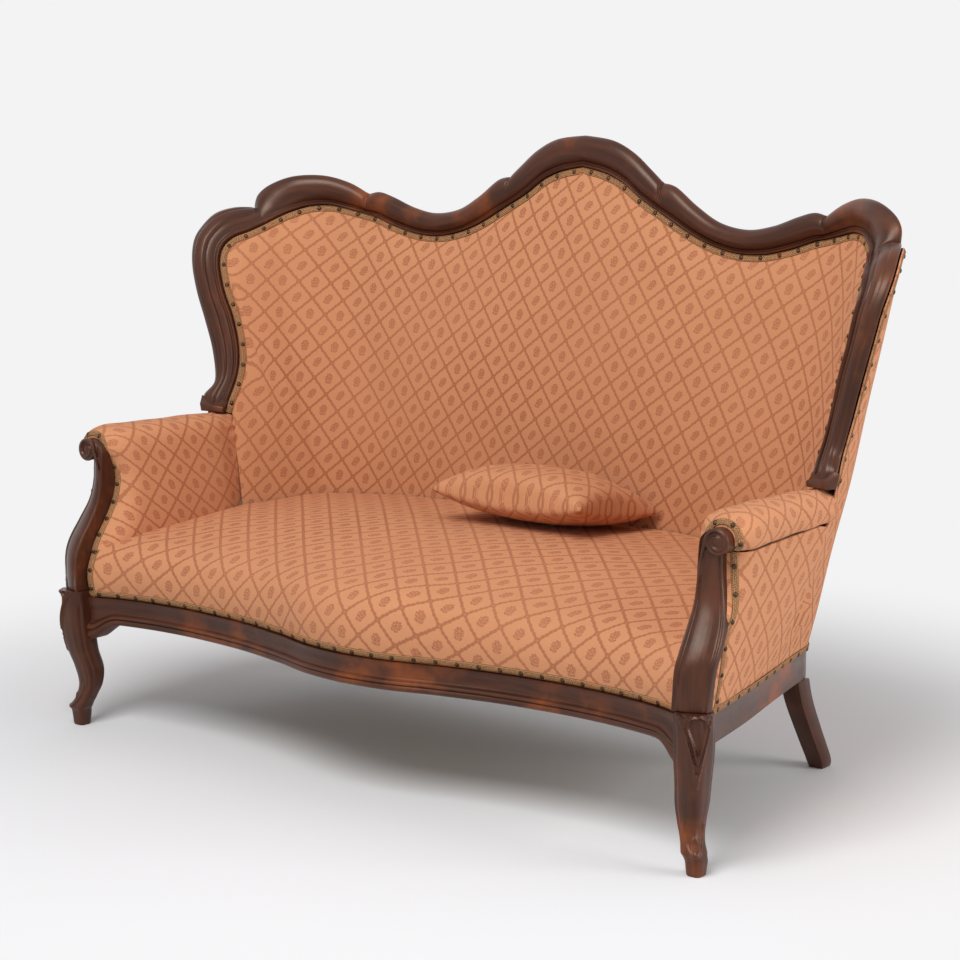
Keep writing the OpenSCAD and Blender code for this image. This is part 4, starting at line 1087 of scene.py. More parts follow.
class SOFA_OT_back_legs(bpy.types.Operator):
    """Raked square back legs"""

    bl_idname = "sofa.back_legs"
    bl_label = "Back legs"

    def execute(self, context):
        top = side_top(RAIL_END) - RAIL_FACE - 0.3
        rings = []
        for share in np.linspace(0, 4, 33):
            z, x, y, half = catmull(BACK_LEG, share)
            corners = ((-1, -1), (1, -1), (1, 1), (-1, 1))
            rings.append([(x + a * half, y + b * half, z * top) for a, b in corners])
        right = loft("back_leg_turned_right", rings)
        bevelled(right, 3)
        smooth(right, 40)
        dress_pair(right, finish_named("wood"), "back_leg")
        return {"FINISHED"}


class SOFA_OT_side_rails(bpy.types.Operator):
    """Plain side rails, curved in plan towards the back"""

    bl_idname = "sofa.side_rails"
    bl_label = "Side rails"

    def execute(self, context):
        rings = []
        last = len(SIDE_PLAN) - 1
        for station in np.linspace(0, last, 43):
            p = catmull(SIDE_PLAN, station)
            i = int(min(station, last - 1))
            after = np.array([0, -1.0]) if i + 1 == last else side_inward(i + 1)
            way = unit(lerp(side_inward(i), after, station - i))
            q = p + way * 28 + (0, 24 * max(0, 1 - station))
            z = side_top(p[1]) - RAIL_FACE
            rings.append([(*p, z), (*p, z + RAIL_FACE), (*q, z + RAIL_FACE), (*q, z)])
        right = loft("side_rail_planed_right", rings)
        bevelled(right, 2.5, 3)
        smooth(right, 40)
        dress_pair(right, finish_named("wood"), "side_rail")
        return {"FINISHED"}


# Front legs and arm posts


def ridge(distance, width):
    return np.exp(-(distance / width) ** 2)


def distance_to_line(p, line):
    """Distance of each point from an open run of segments."""
    best = np.full(p.shape[:-1], 1e9)
    for a, b in zip(line[:-1], line[1:]):
        a, b = np.array(a, float), np.array(b, float)
        t = np.clip(((p - a) @ (b - a)) / ((b - a) @ (b - a)), 0, 1)
        best = np.minimum(best, np.linalg.norm(p - a - t[..., None] * (b - a), axis=-1))
    return best


def knee_carving(aside, z):
    """Height of the knee's carving over the plain leg, at a distance aside of the knee's corner."""
    p = np.stack([np.abs(aside), z], axis=-1)
    drop, flank, cuff, toe, nail = (smooth_line(points, 40) for points in (
        [(0, 200), (2, 208), (5.5, 222), (10.5, 238), (15.5, 251), (18.5, 261), (16.5, 270),
         (10.5, 276), (0, 279)],
        [(0, 156), (4, 184), (8, 206), (15, 229), (23, 249), (32, 268), (42, 284)],
        [(0, 290), (9, 287), (18, 281), (27, 279), (42, 288)],
        [(21, 86), (17, 60), (10, 44), (4, 37), (0, 41)],
        [(0, 66), (5, 60), (7, 50), (3.5, 43), (0, 44)],
    ))
    on_drop = distance_to_line(p, drop)
    half = np.interp(z, [q[1] for q in drop[:30]], [q[0] for q in drop[:30]])
    inside = smoothstep(0, 5, on_drop) * (p[..., 0] < half) * (z > 203) * (z < 278)
    rise = 2.3 * ridge(on_drop, 1.9) - 2.2 * inside
    flank_at = np.interp(z, [q[1] for q in flank], [q[0] for q in flank], left=-5)
    between = (p[..., 0] > half) * (p[..., 0] < flank_at) * (z > 180) * (z < 282)
    rise -= 1.6 * between * smoothstep(1.5, 4, on_drop)
    for line, tall, wide in ((flank, 1.8, 2.0), (cuff, 1.6, 2.2), (toe, 1.8, 2.4), (nail, 1.2, 2.2)):
        rise += tall * ridge(distance_to_line(p, line), wide)
    return rise * 1.5


def leg_ring(z, count):
    at = float(np.interp(z / LEG_TOP, [r[0] for r in LEG], range(len(LEG))))
    out, back, half = catmull([row[1:] for row in LEG], at)
    t = 2 * math.pi * (np.arange(count) + 0.5) / count
    power = 3.2
    q = (np.abs(np.cos(t)) ** power + np.abs(np.sin(t)) ** power) ** (1 / power)
    r = half * KNEE / q
    corner = np.angle(np.exp(1j * (t + math.pi / 4)))
    r = r + knee_carving(corner * half * KNEE * 1.12, np.full(count, z)) * (np.abs(corner) < 1.5)
    edge_on = float(smoothstep(60, 90, z) * (1 - smoothstep(245, 270, z)))
    for arris in (-3 * math.pi / 4, math.pi / 4):
        off = np.angle(np.exp(1j * (t - arris)))
        r += edge_on * (1.0 * ridge(off, 0.07) - 1.3 * ridge(np.abs(off) - 0.22, 0.09))
    r -= 1.6 * float(1 - smoothstep(33, 40, z))
    x = LEG_X + out * KNEE + r * np.cos(t)
    y = -LEG_Y + back * KNEE + r * np.sin(t)
    return np.stack([x, y, np.full(count, z)], axis=1)


class SOFA_OT_front_legs(bpy.types.Operator):
    """Cabriole front legs with carved knees and toes"""

    bl_idname = "sofa.front_legs"
    bl_label = "Front legs"

    def execute(self, context):
        heights = np.concatenate([[0, 0.8, 2.2], np.linspace(4, LEG_TOP, 150)])
        rings = [leg_ring(z, 128) for z in heights]
        for ring, shrink in zip(rings[:3], (0.90, 0.95, 0.985)):
            centre = ring.mean(axis=0)
            ring[:, :2] = centre[:2] + (ring[:, :2] - centre[:2]) * shrink
        right = loft("cabriole_leg_right", rings)
        smooth(right, 60)
        dress_pair(right, finish_named("wood"), "front_leg")
        return {"FINISHED"}


POST_SECTION = [
    (-1, 1), (-1, 0.6), (-1, 0.25), (-0.99, 0.08), (-0.955, 0.01), (-0.9, -0.02), (-0.845, 0),
    (-0.8, 0.055), (-0.75, 0.085), (-0.69, 0.05), (-0.6, -0.01), (-0.45, -0.065), (-0.22, -0.1), (0, -0.11),
    (0.22, -0.1), (0.45, -0.065), (0.6, -0.01), (0.69, 0.05), (0.75, 0.085), (0.8, 0.055),
    (0.845, 0), (0.9, -0.02), (0.955, 0.01), (0.99, 0.08), (1, 0.25), (1, 0.6), (1, 1),
]
FACE_TURN = 0.42


def post_ring(z):
    """Section of the arm post, its face turned outwards."""
    at = float(np.interp(z, [lerp(POST_FOOT, SCROLL_Z, r[0]) for r in POST], range(len(POST))))
    _, _, half, shift = catmull(POST, at)
    half *= POST_HALF
    front = post_front_at(min(z, SCROLL_Z))
    left, right = -half, half
    if z > SCROLL_Z - 6:
        climb = (z - SCROLL_Z + 6) / (SCROLL_R + 5)
        bend = 1 - math.sqrt(max(0, 1 - climb ** 2))
        left, right = lerp(-half, 19, bend), lerp(half, 21, bend)
    carved = float(smoothstep(288, 335, z)) * 0.85 + 0.15
    ring = []
    for u, d in POST_SECTION:
        x = lerp(left, right, (u + 1) / 2)
        deep = d if d > 0.2 else (d + 0.06 * (1 - carved)) * (carved if d > 0 else 1)
        turn = FACE_TURN * (x + half) * (1 - min(1, max(0, d)))
        ring.append((LEG_X + shift + x, front + turn + deep * POST_DEPTH, z))
    return ring


def scroll_disc(r, y, count=72):
    t = 2 * math.pi * np.arange(count) / count
    return np.stack([SCROLL_X + r * np.cos(t), np.full(count, y), SCROLL_Z + r * np.sin(t)], axis=1)


def tube(name, path, radii, sides=14):
    path = np.asarray(path, float)
    rings = []
    for i, p in enumerate(path):
        run = unit(path[min(i + 1, len(path) - 1)] - path[max(i - 1, 0)])
        a = unit(np.cross(run, (0, 1, 0)))
        b = np.cross(run, a)
        t = 2 * math.pi * np.arange(sides) / sides
        rings.append(p + radii[i] * (np.outer(np.cos(t), a) + np.outer(np.sin(t), b)))
    return loft(name, rings)


def fused(objects, name, voxel, passes=3):
    """One closed carving from overlapping solids."""
    make_active(objects[0])
    for obj in objects[1:]:
        obj.select_set(True)
    bpy.ops.object.join()
    obj = bpy.context.object
    obj.name = obj.data.name = name
    mod = obj.modifiers.new("fused", "REMESH")
    mod.mode, mod.voxel_size, mod.use_smooth_shade = "VOXEL", voxel * MM, True
    bpy.ops.object.modifier_apply(modifier=mod.name)
    mod = obj.modifiers.new("rubbed", "SMOOTH")
    mod.factor, mod.iterations = 0.5, passes
    bpy.ops.object.modifier_apply(modifier=mod.name)
    return obj


class SOFA_OT_arm_posts(bpy.types.Operator):
    """Arm posts with an S sweep, lipped edges and an outward scroll"""

    bl_idname = "sofa.arm_posts"
    bl_label = "Arm posts"

    def execute(self, context):
        heights = np.concatenate(
            [np.linspace(POST_FOOT, SCROLL_Z, 110), SCROLL_Z + np.linspace(1, SCROLL_R - 0.5, 16)])
        shaft = loft("arm_shaft", [post_ring(z) for z in heights])
        front = post_front_at(SCROLL_Z) - 6
        back = front + SCROLL_LEN - 6
        profile = (
            (25.5, back), (26.6, back - 2), (26.4, back - 14), (25.4, back - 28), (26, front + 9),
            (27, front + 4), (26.6, front + 1.5), (25, front), (22, front + 1.5), (16, front + 3.5),
            (9, front + 1.5), (4, front - 0.5), (1, front - 1),
        )
        drum = loft("arm_drum", [scroll_disc(r * SCROLL_R / DRAWN_SCROLL_R, y) for r, y in profile])
        turns = np.linspace(0, 1, 110)
        angle = math.pi * 1.02 - turns * math.pi * 2.9
        radius = (21 * (1 - turns) ** 0.8 + 4.5) * SCROLL_R / DRAWN_SCROLL_R
        spiral = np.stack([SCROLL_X + radius * np.cos(angle), front + 1.2 + 0 * turns,
                           SCROLL_Z + radius * np.sin(angle)], axis=1)
        lip = []
        for z in np.linspace(470, SCROLL_Z - 2, 14):
            ring = post_ring(z)
            lip.append((ring[5][0] + 1, ring[5][1] + 1.6, z))
        lip = np.array(lip)
        blend = np.linspace(0, 1, len(lip))[:, None] ** 2
        lip = lip + (spiral[0] - lip[-1]) * blend
        path = np.concatenate([lip[:-1], spiral])
        radii = np.concatenate([np.linspace(1.2, 3.0, len(lip) - 1), 3.0 - 0.9 * turns])
        fillet = tube("arm_fillet", path, radii)
        right = fused([shaft, drum, fillet], "scrolled_post_right", 1.3)
        smooth(right, 80)
        dress_pair(right, finish_named("carved"), "arm_post")
        return {"FINISHED"}


class SOFA_OT_wing_blocks(bpy.types.Operator):
    """Small blocks with sloped shelves at the feet of the wings"""

    bl_idname = "sofa.wing_blocks"
    bl_label = "Wing blocks"

    def execute(self, context):
        rings = []
        for s, rise in ((28.05, -0.02), (28.42, 0.17), (28.5, 0.27), (28.56, 0.29), (28.98, 0.3), (29, 0.28)):
            rings.append([moulding_point(s, a, r) for a, r in
                          ((0.06, -0.5), (-0.03, -0.3), (-0.03, rise),
                           (1.03, rise), (1.03, -0.4), (0.8, -0.6))])
        right = loft("wing_block_right", rings)
        bevelled(right, 1.2)
        smooth(right, 35)
        dress_pair(right, finish_named("carved"))
        return {"FINISHED"}


# Outside covers, arm pads and cushion


SIDE_GRID = (46, 150)
TUCK = 14
EAR_SINK = 6
BACK_SINK = 3.8
BACK_FOOT_HALF, BACK_FOOT_Y = 534.7, 309


def side_columns():
    """Coarse columns of the outside side cover: over the arm seam, up the wing and round the ear."""
    edges = [np.array(p, float) for p in ARM_SEAM]
    edges += [moulding_point(s, 0.99, -0.53) for s in range(WING_END, EAR_END - 1, -1)]
    edges += [moulding_point(s, 0.38, -1) - face_normal(s) * EAR_SINK
              for s in range(EAR_END - 1, SHOULDER_END - 1, -1)]
    seam, ear = len(ARM_SEAM), len(ARM_SEAM) + WING_END - EAR_END + 1
    columns = []
    for i, top in enumerate(edges):
        if i < seam:
            station = max(0.12, i * 0.48)
        elif i < ear:
            station = lerp(2.05, 4.3, (i - seam) / (WING_END - EAR_END))
        else:
            station = lerp(4.3, 6, (i - ear + 1) / (len(edges) - ear))
        foot = side_foot(station)
        share = TUCK / np.linalg.norm(foot - top)
        if i <= seam or i == len(edges) - 1:
            second = lerp(top, foot, share)
        elif i < ear:
            run = unit(edges[i + 1] - edges[i - 1])
            way = foot - top
            second = top + unit(way - run * (way @ run)) * TUCK
        else:
            s = EAR_END - (i - ear + 1)
            second = moulding_point(s, 0.16, -1) - face_normal(s) * EAR_SINK
        bulge = 4 if i < ear else 0
        body = [lerp(second, lerp(top, foot, 1 - share), v) + (bulge * math.sin(math.pi * v), 0, 0)
                for v in np.linspace(0, 1, 9)]
        column = [top] + body + [foot]
        if i == 0:
            columns.append([np.array([min(p[0], post_edge(p[2], 1)),
                                      max(-315, post_front_at(p[2]) + 30), p[2]]) for p in column])
        columns.append(column)
    return np.array(columns).transpose(1, 0, 2), seam + 1, ear + 1


class SOFA_OT_outside_covers(bpy.types.Operator):
    """Taut covers over the outsides of the arms, wings and back"""

    bl_idname = "sofa.outside_covers"
    bl_label = "Outside covers"

    def execute(self, context):
        coarse, _, _ = side_columns()
        g = refine(coarse, *SIDE_GRID)
        n = grid_normals(g)
        g = g - n * ripples(g, 300, 1.0, 21)[..., None] * smoothstep(0, 6, np.arange(len(g)))[:, None, None]
        plain = cloth_map(g)
        uv = cut_cloth(plain, (84, -6), (11, -77))
        right = shell("outside_side_panel_right", g, g + n * COVER, uv)
        smooth(right, 60)
        for obj in dress_pair(right, finish_named("cloth"), "outside_side"):
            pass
        foot_z = side_top(RAIL_END) + 0.3
        columns = []
        for s in np.linspace(0, SHOULDER_END, 70):
            aside = np.array([s / SHOULDER_END, 0, 0])
            top = moulding_point(s, 0.38, -1) - face_normal(s) * BACK_SINK - aside
            second = moulding_point(s, 0.16, -1) - face_normal(s) * BACK_SINK - aside
            foot_x = edge(1, s)[0] / edge(1, SHOULDER_END)[0] * BACK_FOOT_HALF
            foot = np.array([foot_x, BACK_FOOT_Y, foot_z])
            columns.append([lerp(top, second, 0.5 * k) for k in range(2)]
                           + [lerp(second, foot, v) for v in np.linspace(0, 1, 40)])
        g = both_sides(np.array(columns).transpose(1, 0, 2))
        uv = g[..., (0, 2)] * MM * (-1, 1)
        back = shell("outside_back_panel", g, g - (0, COVER, 0), uv)
        smooth(back, 60)
        dress(back, finish_named("cloth"), ["outside_back_cover"])
        return {"FINISHED"}


PAD_LINING = [
    (784, 541, 0, 1), (779, 543, 0, 1), (772, 544, 0, 0.9), (764, 544, 0, 0.8), (755, 544, 0, 0.6),
    (744, 544, 0.1, 0.4), (732, 543, 0.25, 0.25), (720, 541, 0.4, 0.1), (709, 539, 0.6, 0.1),
    (700, 531, 0.8, 0.05), (694, 490, 0.9, 0.05), (692, 454, 0.92, 0.05), (690, 425, 0.94, 0.05),
    (687, 400, 0.97, 0.05), (684, 365, 1, 0.05),
]
PAD_BACK = 48.0
PAD_GRIP = 0.16


def post_edge(z, side):
    """Across place of the arm post's inner (-1) or outer (1) edge."""
    share = (min(z, SCROLL_Z) - POST_FOOT) / (SCROLL_Z - POST_FOOT)
    table = post_table()
    return LEG_X + float(np.interp(share, table[:, 0], table[:, 3] + side * POST_HALF * table[:, 2]))


def pad_front(z):
    """Front of the pad: at the post's back below, and close behind the scroll's rim above."""
    post = post_front_at(min(z, SCROLL_Z)) + POST_DEPTH
    rim = post_front_at(SCROLL_Z) + 14
    return lerp(post, rim, float(smoothstep(500, 562, z))) + 1


def pad_row(t, section, inset=0.0):
    """Section of the pad at share t of its length, gathered round the post and the scroll in front."""
    hug = 1 - math.sqrt(1 - max(0.0, 1 - t / PAD_GRIP) ** 2)
    row = []
    for x, z, pull, taper in section:
        high = min(1.0, max(0.0, (z - 541) / 55))
        inner = min(1.0, pull / 0.6)
        p = np.array([x - 34 * taper * t, z + 9 * (1 - 0.6 * t) * high])
        p[0] += (16 * inner - 2 * min(1.0, taper)) * float(smoothstep(0.78, 1, t))
        p[1] -= 5 * high * float(smoothstep(0.8, 1, t))
        hub = np.array([SCROLL_X, SCROLL_Z])
        round_scroll = hub + (SCROLL_R + 3 - inset) * unit(p - hub)
        beside_post = np.array([post_edge(z, -1) + 1 + inset, z])
        near = lerp(beside_post, round_scroll, float(smoothstep(500, 552, z)))
        q = lerp(p, near, hug)
        low = max(0.0, min(1.0, (500 - z) / 120))
        row.append((q[0], lerp(pad_front(z), PAD_BACK + 13 + 13 * inner + 16 * low, t), q[1]))
    return row


class SOFA_OT_arm_pads(bpy.types.Operator):
    """Stuffed inside arms that roll over the arm rails"""

    bl_idname = "sofa.arm_pads"
    bl_label = "Arm pads"

    def execute(self, context):
        skin, lining = smooth_line(PAD_SKIN, 90), smooth_line(PAD_LINING, 90)
        stations = np.linspace(0, 1, 96) ** 1.6
        g = np.array([pad_row(t, skin) for t in stations])
        inner = np.array([pad_row(t, lining, 5.0) for t in stations])
        n = grid_normals(g)
        n *= np.sign(n[60, 20, 2]) or 1
        calm = smoothstep(0.04, 0.16, stations)[:, None]
        g = g + n * (ripples(g, 150, 1.3, 31) * calm)[..., None]
        tuck = smoothstep(0.8, 1, stations)[:, None]
        fold = np.cos(np.arctan2(g[..., 2] - 560, g[..., 0] - 735) * 9) * 2.2
        g = g + n * (fold * tuck * (g[..., 2] > 540))[..., None]
        arc = run_lengths(g[60])
        uv = np.stack([g[..., 1], np.broadcast_to(arc[-1] - arc, g.shape[:2])], axis=-1) * MM
        right = shell("arm_pad_stuffed_right", g, inner, cut_cloth(uv, (68, -7), (20, -64)))
        smooth(right, 70)
        for obj in dress_pair(right, finish_named("cloth"), "arm_pad"):
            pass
        return {"FINISHED"}


class SOFA_OT_cushion(bpy.types.Operator):
    """Loose knife-edged cushion"""

    bl_idname = "sofa.cushion"
    bl_label = "Cushion"

    def execute(self, context):
        low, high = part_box("loose_cushion")
        length, width, thick = 372.0, 252.0, 116.0
        count = 61
        share = np.sin(np.linspace(-math.pi / 2, math.pi / 2, count))
        u, v = np.meshgrid(share, share)
        pull = 1 - 0.09 * (1 - v ** 2) * u ** 8
        draw = 1 - 0.12 * (1 - u ** 2) * v ** 8
        crown = np.maximum(0, (1 - u ** 2) * (1 - v ** 2)) ** 0.42
        flat = np.stack([u * length / 2 * pull, v * width / 2 * draw, 0 * u], axis=-1)
        wrinkle = ripples(flat, 90, 1.6, 5) * crown
        top = flat + np.stack([0 * u, 0 * u, (thick * 0.6 - 2) * crown + 1 + wrinkle], axis=-1)
        bottom = flat - np.stack([0 * u, 0 * u, (thick * 0.4 - 2) * crown + 1 + wrinkle * 0.4], axis=-1)
        uv = np.stack([u * length / 2, v * width / 2], axis=-1) * MM + 0.015
        obj = shell("pillow", top, bottom, uv)
        tilt, turn = math.radians(-9), math.radians(-1)
        c, k = math.cos(turn), math.sin(turn)
        spin = np.array([[c, -k, 0], [k, c, 0], [0, 0, 1]])
        c, k = math.cos(tilt), math.sin(tilt)
        lean = np.array([[1, 0, 0], [0, c, -k], [0, k, c]])
        co = np.zeros(len(obj.data.vertices) * 3)
        obj.data.vertices.foreach_get("co", co)
        co = co.reshape(-1, 3) @ (spin @ lean).T
        co += ((low[0] + high[0]) / 2, (low[1] + high[1]) / 2, low[2] - co[:, 2].min())
        obj.data.vertices.foreach_set("co", co.astype(np.float32).ravel())
        smooth(obj, 70)
        dress(obj, finish_named("cloth"), ["loose_cushion"], "loose_cushion")
        return {"FINISHED"}


# Gimp and nails


# Share of the braid's width, and height over the cover
BRAID_DOME = [(0.0, 0.5), (0.06, 1.5), (0.22, 2.3), (0.5, 2.6), (0.78, 2.3), (0.92, 1.5), (0.98, 0.5)]
BRAID_MAP_WIDTH = 13
NAIL_LIFT = 2.2


def band(name, a, b, n):
    """Domed strip of braid from line a towards line b, standing off the cover along n."""
    a, b, n = (np.asarray(x, float) for x in (a, b, n))
    along = run_lengths((a + b) / 2)
    rows, flat = [], []
    for share, lift in BRAID_DOME:
        rows.append(a + (b - a) * share + n * lift)
        flat.append(np.stack([along, np.full(len(a), share * BRAID_MAP_WIDTH)], axis=1))
    rows, flat = np.array(rows), np.array(flat) * MM
    back = np.array([r - n * (lift - 0.1) for r, lift in zip(rows, [lift for _, lift in BRAID_DOME])])
    obj = shell(name, rows, back, flat)
    smooth(obj, 60)
    return obj


def even_points(line, normals, pitch, start=0.5):
    """Points every pitch along a line, with the normals there."""
    line, normals = np.asarray(line, float), np.asarray(normals, float)
    along = run_lengths(line)
    count = max(1, int(round(along[-1] / pitch)))
    at = (np.arange(count) + start) * along[-1] / count
    pick = lambda table: np.stack([np.interp(at, along, table[:, k]) for k in range(3)], axis=1)
    return pick(line), pick(normals)


def nail_heads(name, places, normals):
    """Domed nail heads, each a few dozen faces, in one piece."""
    r = sizes().nail_radius / MM
    profile = [(r * 0.96, -0.6), (r, 0.0), (r * 0.86, 1.35), (r * 0.5, 2.35), (r * 0.16, 2.7)]
    around, verts, faces = 10, [], []
    turn = 2 * math.pi * np.arange(around) / around
    rng = np.random.default_rng(11)
    for p, n in zip(places, normals):
        n = unit(unit(n) + rng.normal(size=3) * 0.05)
        a = unit(np.cross(n, (0.3, 0.1, 1.0)))
        b = np.cross(n, a)
        start = len(verts)
        for radius, lift in profile:
            for t in turn:
                verts.append((p + n * lift + radius * (a * math.cos(t) + b * math.sin(t))) * MM)
        for i in range(len(profile) - 1):
            for j in range(around):
                k = (j + 1) % around
                faces.append([start + i * around + j, start + i * around + k,
                              start + (i + 1) * around + k, start + (i + 1) * around + j])
        faces.append([start + j for j in range(around)][::-1])
        faces.append([start + (len(profile) - 1) * around + j for j in range(around)])
    mesh = bpy.data.meshes.new(name)
    mesh.from_pydata([tuple(v) for v in verts], [], faces)
    obj = bpy.data.objects.new(name, mesh)
    bpy.context.scene.collection.objects.link(obj)
    edit(obj, face_outwards)
    smooth(obj, 60)
    return obj


def edge_strip(g, start, width, outward):
    """Lines at two distances in from a grid's first row, and the normals between, facing outward."""
    far = np.linalg.norm(np.diff(g, axis=0), axis=2)
    far = np.concatenate([np.zeros((1, g.shape[1])), np.cumsum(far, axis=0)])
    n = grid_normals(g)
    start = np.broadcast_to(start, g.shape[1])

    def at(table, distance):
        return np.array([[np.interp(distance[j], far[:, j], table[:, j, k]) for k in range(3)]
                         for j in range(g.shape[1])])

    middle = at(n, start + width / 2)
    facing = np.sign(middle.mean(0) @ np.array(outward, float)) or 1
    return at(g, start), at(g, start + width), middle * facing


def mirrored_rows(*rows):
    return [np.asarray(r, float) * MIRROR for r in rows]


# Distances between the nails where they differ from the nail pitch
FOOT_PITCH, SIDE_PITCH, SEAT_END_PITCH, ARM_PITCH = 56, 44, 37, 36


class SOFA_OT_gimps(bpy.types.Operator):
    """Gimp braid over the covers' edges, held by nails"""

    bl_idname = "sofa.gimps"
    bl_label = "Gimp and nails"

    def execute(self, context):
        braid, nail = finish_named("gimp"), finish_named("nail")
        places, normals = [], []

        def nails(a, b, n, pitch=None):
            a, b, n = (np.asarray(x, float) for x in (a, b, n))
            p, m = even_points(lerp(a, b, 0.5) + n * NAIL_LIFT, n, pitch or sizes().nail_pitch / MM)
            places.extend(p)
            normals.extend(m)

        def nails_both(a, b, n, pitch=None):
            nails(a, b, n, pitch)
            nails(*mirrored_rows(a, b, n), pitch)

        stations = np.linspace(0, WING_END, 260)
        columns = np.array([inside_column(s, [0, 0.05]) for s in stations])
        g = both_sides(columns.transpose(1, 0, 2))
        n = -grid_normals(g[(0, 2, 3), :, :])[0]
        dress(band("back_braid", g[0], g[2], n), braid, ["back_gimp"])
        nails(g[0], g[2], n)

        stations = np.linspace(-1, 1, 261)
        a = np.array([seat_front_point(u, BORDER[0]) for u in stations])
        b = np.array([seat_front_point(u, BORDER[1]) for u in stations])
        n = grid_normals(np.array([a, b]))[0]
        dress(band("seat_braid", a, b, n), braid, ["seat_gimp"])
        nails(a, b, n)

        wide = sizes().gimp_width / MM
        coarse, seam, ear = side_columns()
        g = refine(coarse, *SIDE_GRID)
        foot, above = refine(coarse[-1:-3:-1], 2, 150)
        out = -grid_normals(g)[-1]
        trims = [band("side_foot_braid_right", foot, above, out)]
        nails_both(foot, above, out, pitch=FOOT_PITCH)
        front = refine(coarse[:, :5], 60, 60).transpose(1, 0, 2)
        lines = edge_strip(front, np.linspace(6, 13, 60), wide, (1, 0, 0))
        trims.append(band("side_front_braid_right", *lines))
        nails_both(*lines, pitch=SIDE_PITCH)
        end = seat_grid()[:31, -1:-16:-1].transpose(1, 0, 2)
        lines = edge_strip(end, 0.5, wide, (0, -1, 0.4))
        trims.append(band("seat_end_braid_right", *lines))
        nails_both(*lines, pitch=SEAT_END_PITCH)
        rear = refine(coarse[:2, seam:ear], 2, 110)
        out = -grid_normals(refine(coarse[:3, seam:ear], 3, 110))[0]
        trims.append(band("wing_braid_right", rear[0], rear[1], out))
        nails_both(rear[0], rear[1], out)
        make_active(trims[0])
        for part in trims[1:]:
            part.select_set(True)
        bpy.ops.object.join()
        dress_pair(bpy.context.object, braid, "side_gimp")

        skin = smooth_line(PAD_SKIN, 100)
        g = np.array([pad_row(t, skin) for t in np.linspace(0, 0.5, 60) ** 1.8])
        a, b, n = edge_strip(g, 0.0, wide, (0, -1, 0))
        dress_pair(band("arm_braid_right", a, b, n), braid, "arm_gimp")
        nails_both(a, b, n, pitch=ARM_PITCH)

        dress(nail_heads("nails", places, normals), nail)
        return {"FINISHED"}


class SOFA_OT_hidden_frame(bpy.types.Operator):
    """Finishes of the frame and springing that stay as packed"""

    bl_idname = "sofa.hidden_frame"
    bl_label = "Hidden frame"

    def execute(self, context):
        kinds = {
            "back_rail": "frame", "back_stile": "frame", "wing_stump": "frame", "arm_rail": "frame",
            "back_muntins": "frame", "corner_blocks": "frame", "seat_stretcher": "frame",
            "seat_webbing": "webbing", "seat_hessian": "hessian", "seat_springs": "spring",
        }
        for name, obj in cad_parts.items():
            for start, kind in kinds.items():
                if name.startswith(start):
                    obj.data.materials.clear()
                    obj.data.materials.append(finish_named(kind))
        return {"FINISHED"}


# Stage

BACKDROP = (0.895, 0.895, 0.905, 1)
# Name, place, size in metres, power in watts, and the point that it is turned to
LAMPS = [
    ("key", (0.7, -2.9, 4.1), 2.4, 165, (0, 0, 0.5)),
    ("side", (4.4, 0.9, 1.7), 2.2, 88, (0.6, 0, 0.5)),
]
FLOOR_RADIUS = 60
FLOOR_FADE = (0.78, 1.9)


def seen_rays(w):
    """One where the backdrop itself is seen, straight or in gloss, and nought where it lights the sofa."""
    path = w.tree.nodes.new("ShaderNodeLightPath")
    rays = ("Is Camera Ray", "Is Glossy Ray", "Is Transmission Ray")
    return w.most(*(path.outputs[ray] for ray in rays))


def show_where_seen(w, share, lit, seen, surface):
    """Put the seen shader in place of the lit one by a share."""
    mix = w.tree.nodes.new("ShaderNodeMixShader")
    w.put(mix.inputs[0], share)
    w.tree.links.new(lit, mix.inputs[1])
    w.tree.links.new(seen, mix.inputs[2])
    w.tree.links.new(mix.outputs[0], surface)


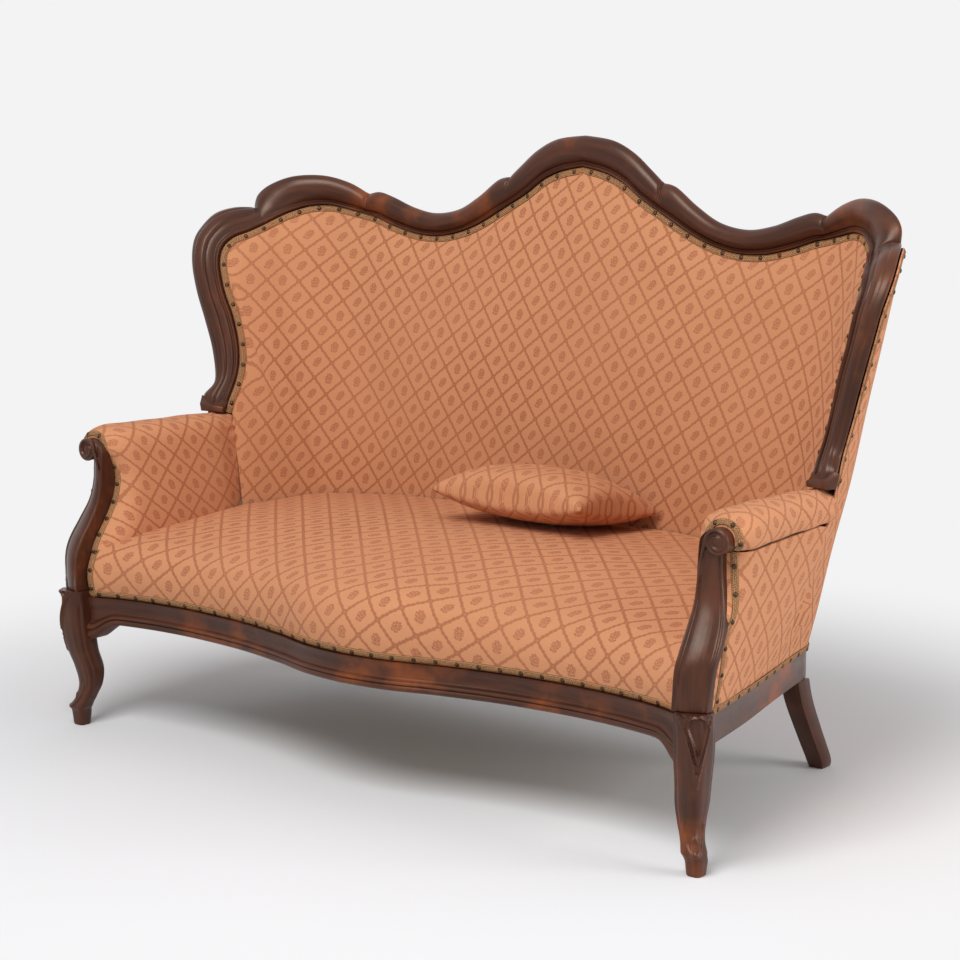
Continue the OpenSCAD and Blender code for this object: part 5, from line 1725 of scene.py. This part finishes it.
class SOFA_OT_stage(bpy.types.Operator):
    """Camera, soft lights and pale floor"""

    bl_idname = "sofa.stage"
    bl_label = "Stage"

    def execute(self, context):
        scene = bpy.context.scene
        scene.view_settings.view_transform = "Standard"
        lens = bpy.data.cameras.new("camera")
        lens.lens, lens.sensor_width = 93.75, 36.0
        camera = bpy.data.objects.new("camera", lens)
        scene.collection.objects.link(camera)
        camera.location = (2.981, -3.659, 1.355)
        camera.rotation_euler = (math.radians(80.19), 0, math.radians(39.03))
        scene.camera = camera
        for name, place, size, power, aim in LAMPS:
            lamp = bpy.data.lights.new(name, "AREA")
            lamp.size, lamp.energy = size, power
            light = bpy.data.objects.new(name, lamp)
            scene.collection.objects.link(light)
            light.location = place
            way = np.array(aim) - np.array(place)
            light.rotation_euler = (math.atan2(math.hypot(way[0], way[1]), -way[2]), 0,
                                    math.atan2(way[1], way[0]) - math.pi / 2)
        deselect()
        bpy.ops.mesh.primitive_circle_add(vertices=96, radius=FLOOR_RADIUS, fill_type="NGON",
                                          location=(0, 0, -0.0002))
        floor = bpy.context.object
        floor.name = "floor"
        w = Wiring("pale_floor")
        x, y, _ = w.parts(w.coords("Object"))
        far = w.fade(w.math("SQRT", w.add(w.mul(x, x), w.mul(y, y))), *FLOOR_FADE)
        cloud = w.noise(w.coords("Object"), 1.3, 2.0)
        w.finish(Base_Color=w.blend(cloud, (0.77, 0.77, 0.78), (0.80, 0.80, 0.81)), Roughness=0.9,
                 Specular_IOR_Level=0.1)
        glow = w.tree.nodes.new("ShaderNodeEmission")
        glow.inputs["Color"].default_value = BACKDROP
        show_where_seen(w, w.mul(far, seen_rays(w)), w.shader.outputs[0], glow.outputs[0], w.surface)
        floor.data.materials.append(w.material)
        world = bpy.data.worlds.new("studio")
        scene.world = world
        world.use_nodes = True
        sky = Wiring.of_tree(world.node_tree)
        light = sky.tree.nodes["Background"]
        light.inputs["Color"].default_value = (0.90, 0.90, 0.92, 1)
        light.inputs["Strength"].default_value = 0.48
        seen = sky.tree.nodes.new("ShaderNodeBackground")
        seen.inputs["Color"].default_value = BACKDROP
        show_where_seen(sky, seen_rays(sky), light.outputs[0], seen.outputs[0],
                        sky.tree.nodes["World Output"].inputs["Surface"])
        return {"FINISHED"}


STEPS = [
    SOFA_OT_show_wood_back, SOFA_OT_wing_blocks, SOFA_OT_front_rail, SOFA_OT_side_rails,
    SOFA_OT_back_legs, SOFA_OT_front_legs, SOFA_OT_arm_posts, SOFA_OT_inside_back, SOFA_OT_seat,
    SOFA_OT_outside_covers, SOFA_OT_arm_pads, SOFA_OT_cushion, SOFA_OT_gimps,
    SOFA_OT_hidden_frame, SOFA_OT_stage,
]


class SOFA_PT_panel(bpy.types.Panel):
    """Steps that build the sofa"""

    bl_label = "Cabriole sofa"
    bl_idname = "SOFA_PT_panel"
    bl_space_type = "VIEW_3D"
    bl_region_type = "UI"
    bl_category = "Sofa"

    def draw(self, context):
        for step in STEPS:
            self.layout.operator(step.bl_idname)


CLASSES = [SofaSizes, SofaColours, *STEPS, SOFA_PT_panel]


def register():
    for item in CLASSES:
        bpy.utils.register_class(item)
    bpy.types.Scene.sofa_sizes = PointerProperty(type=SofaSizes)
    bpy.types.Scene.sofa_colours = PointerProperty(type=SofaColours)


def unregister():
    del bpy.types.Scene.sofa_colours
    del bpy.types.Scene.sofa_sizes
    for item in reversed(CLASSES):
        bpy.utils.unregister_class(item)


def main():
    register()
    for step in STEPS:
        group, name = step.bl_idname.split(".")
        getattr(getattr(bpy.ops, group), name)()


if __name__ == "__main__":
    main()
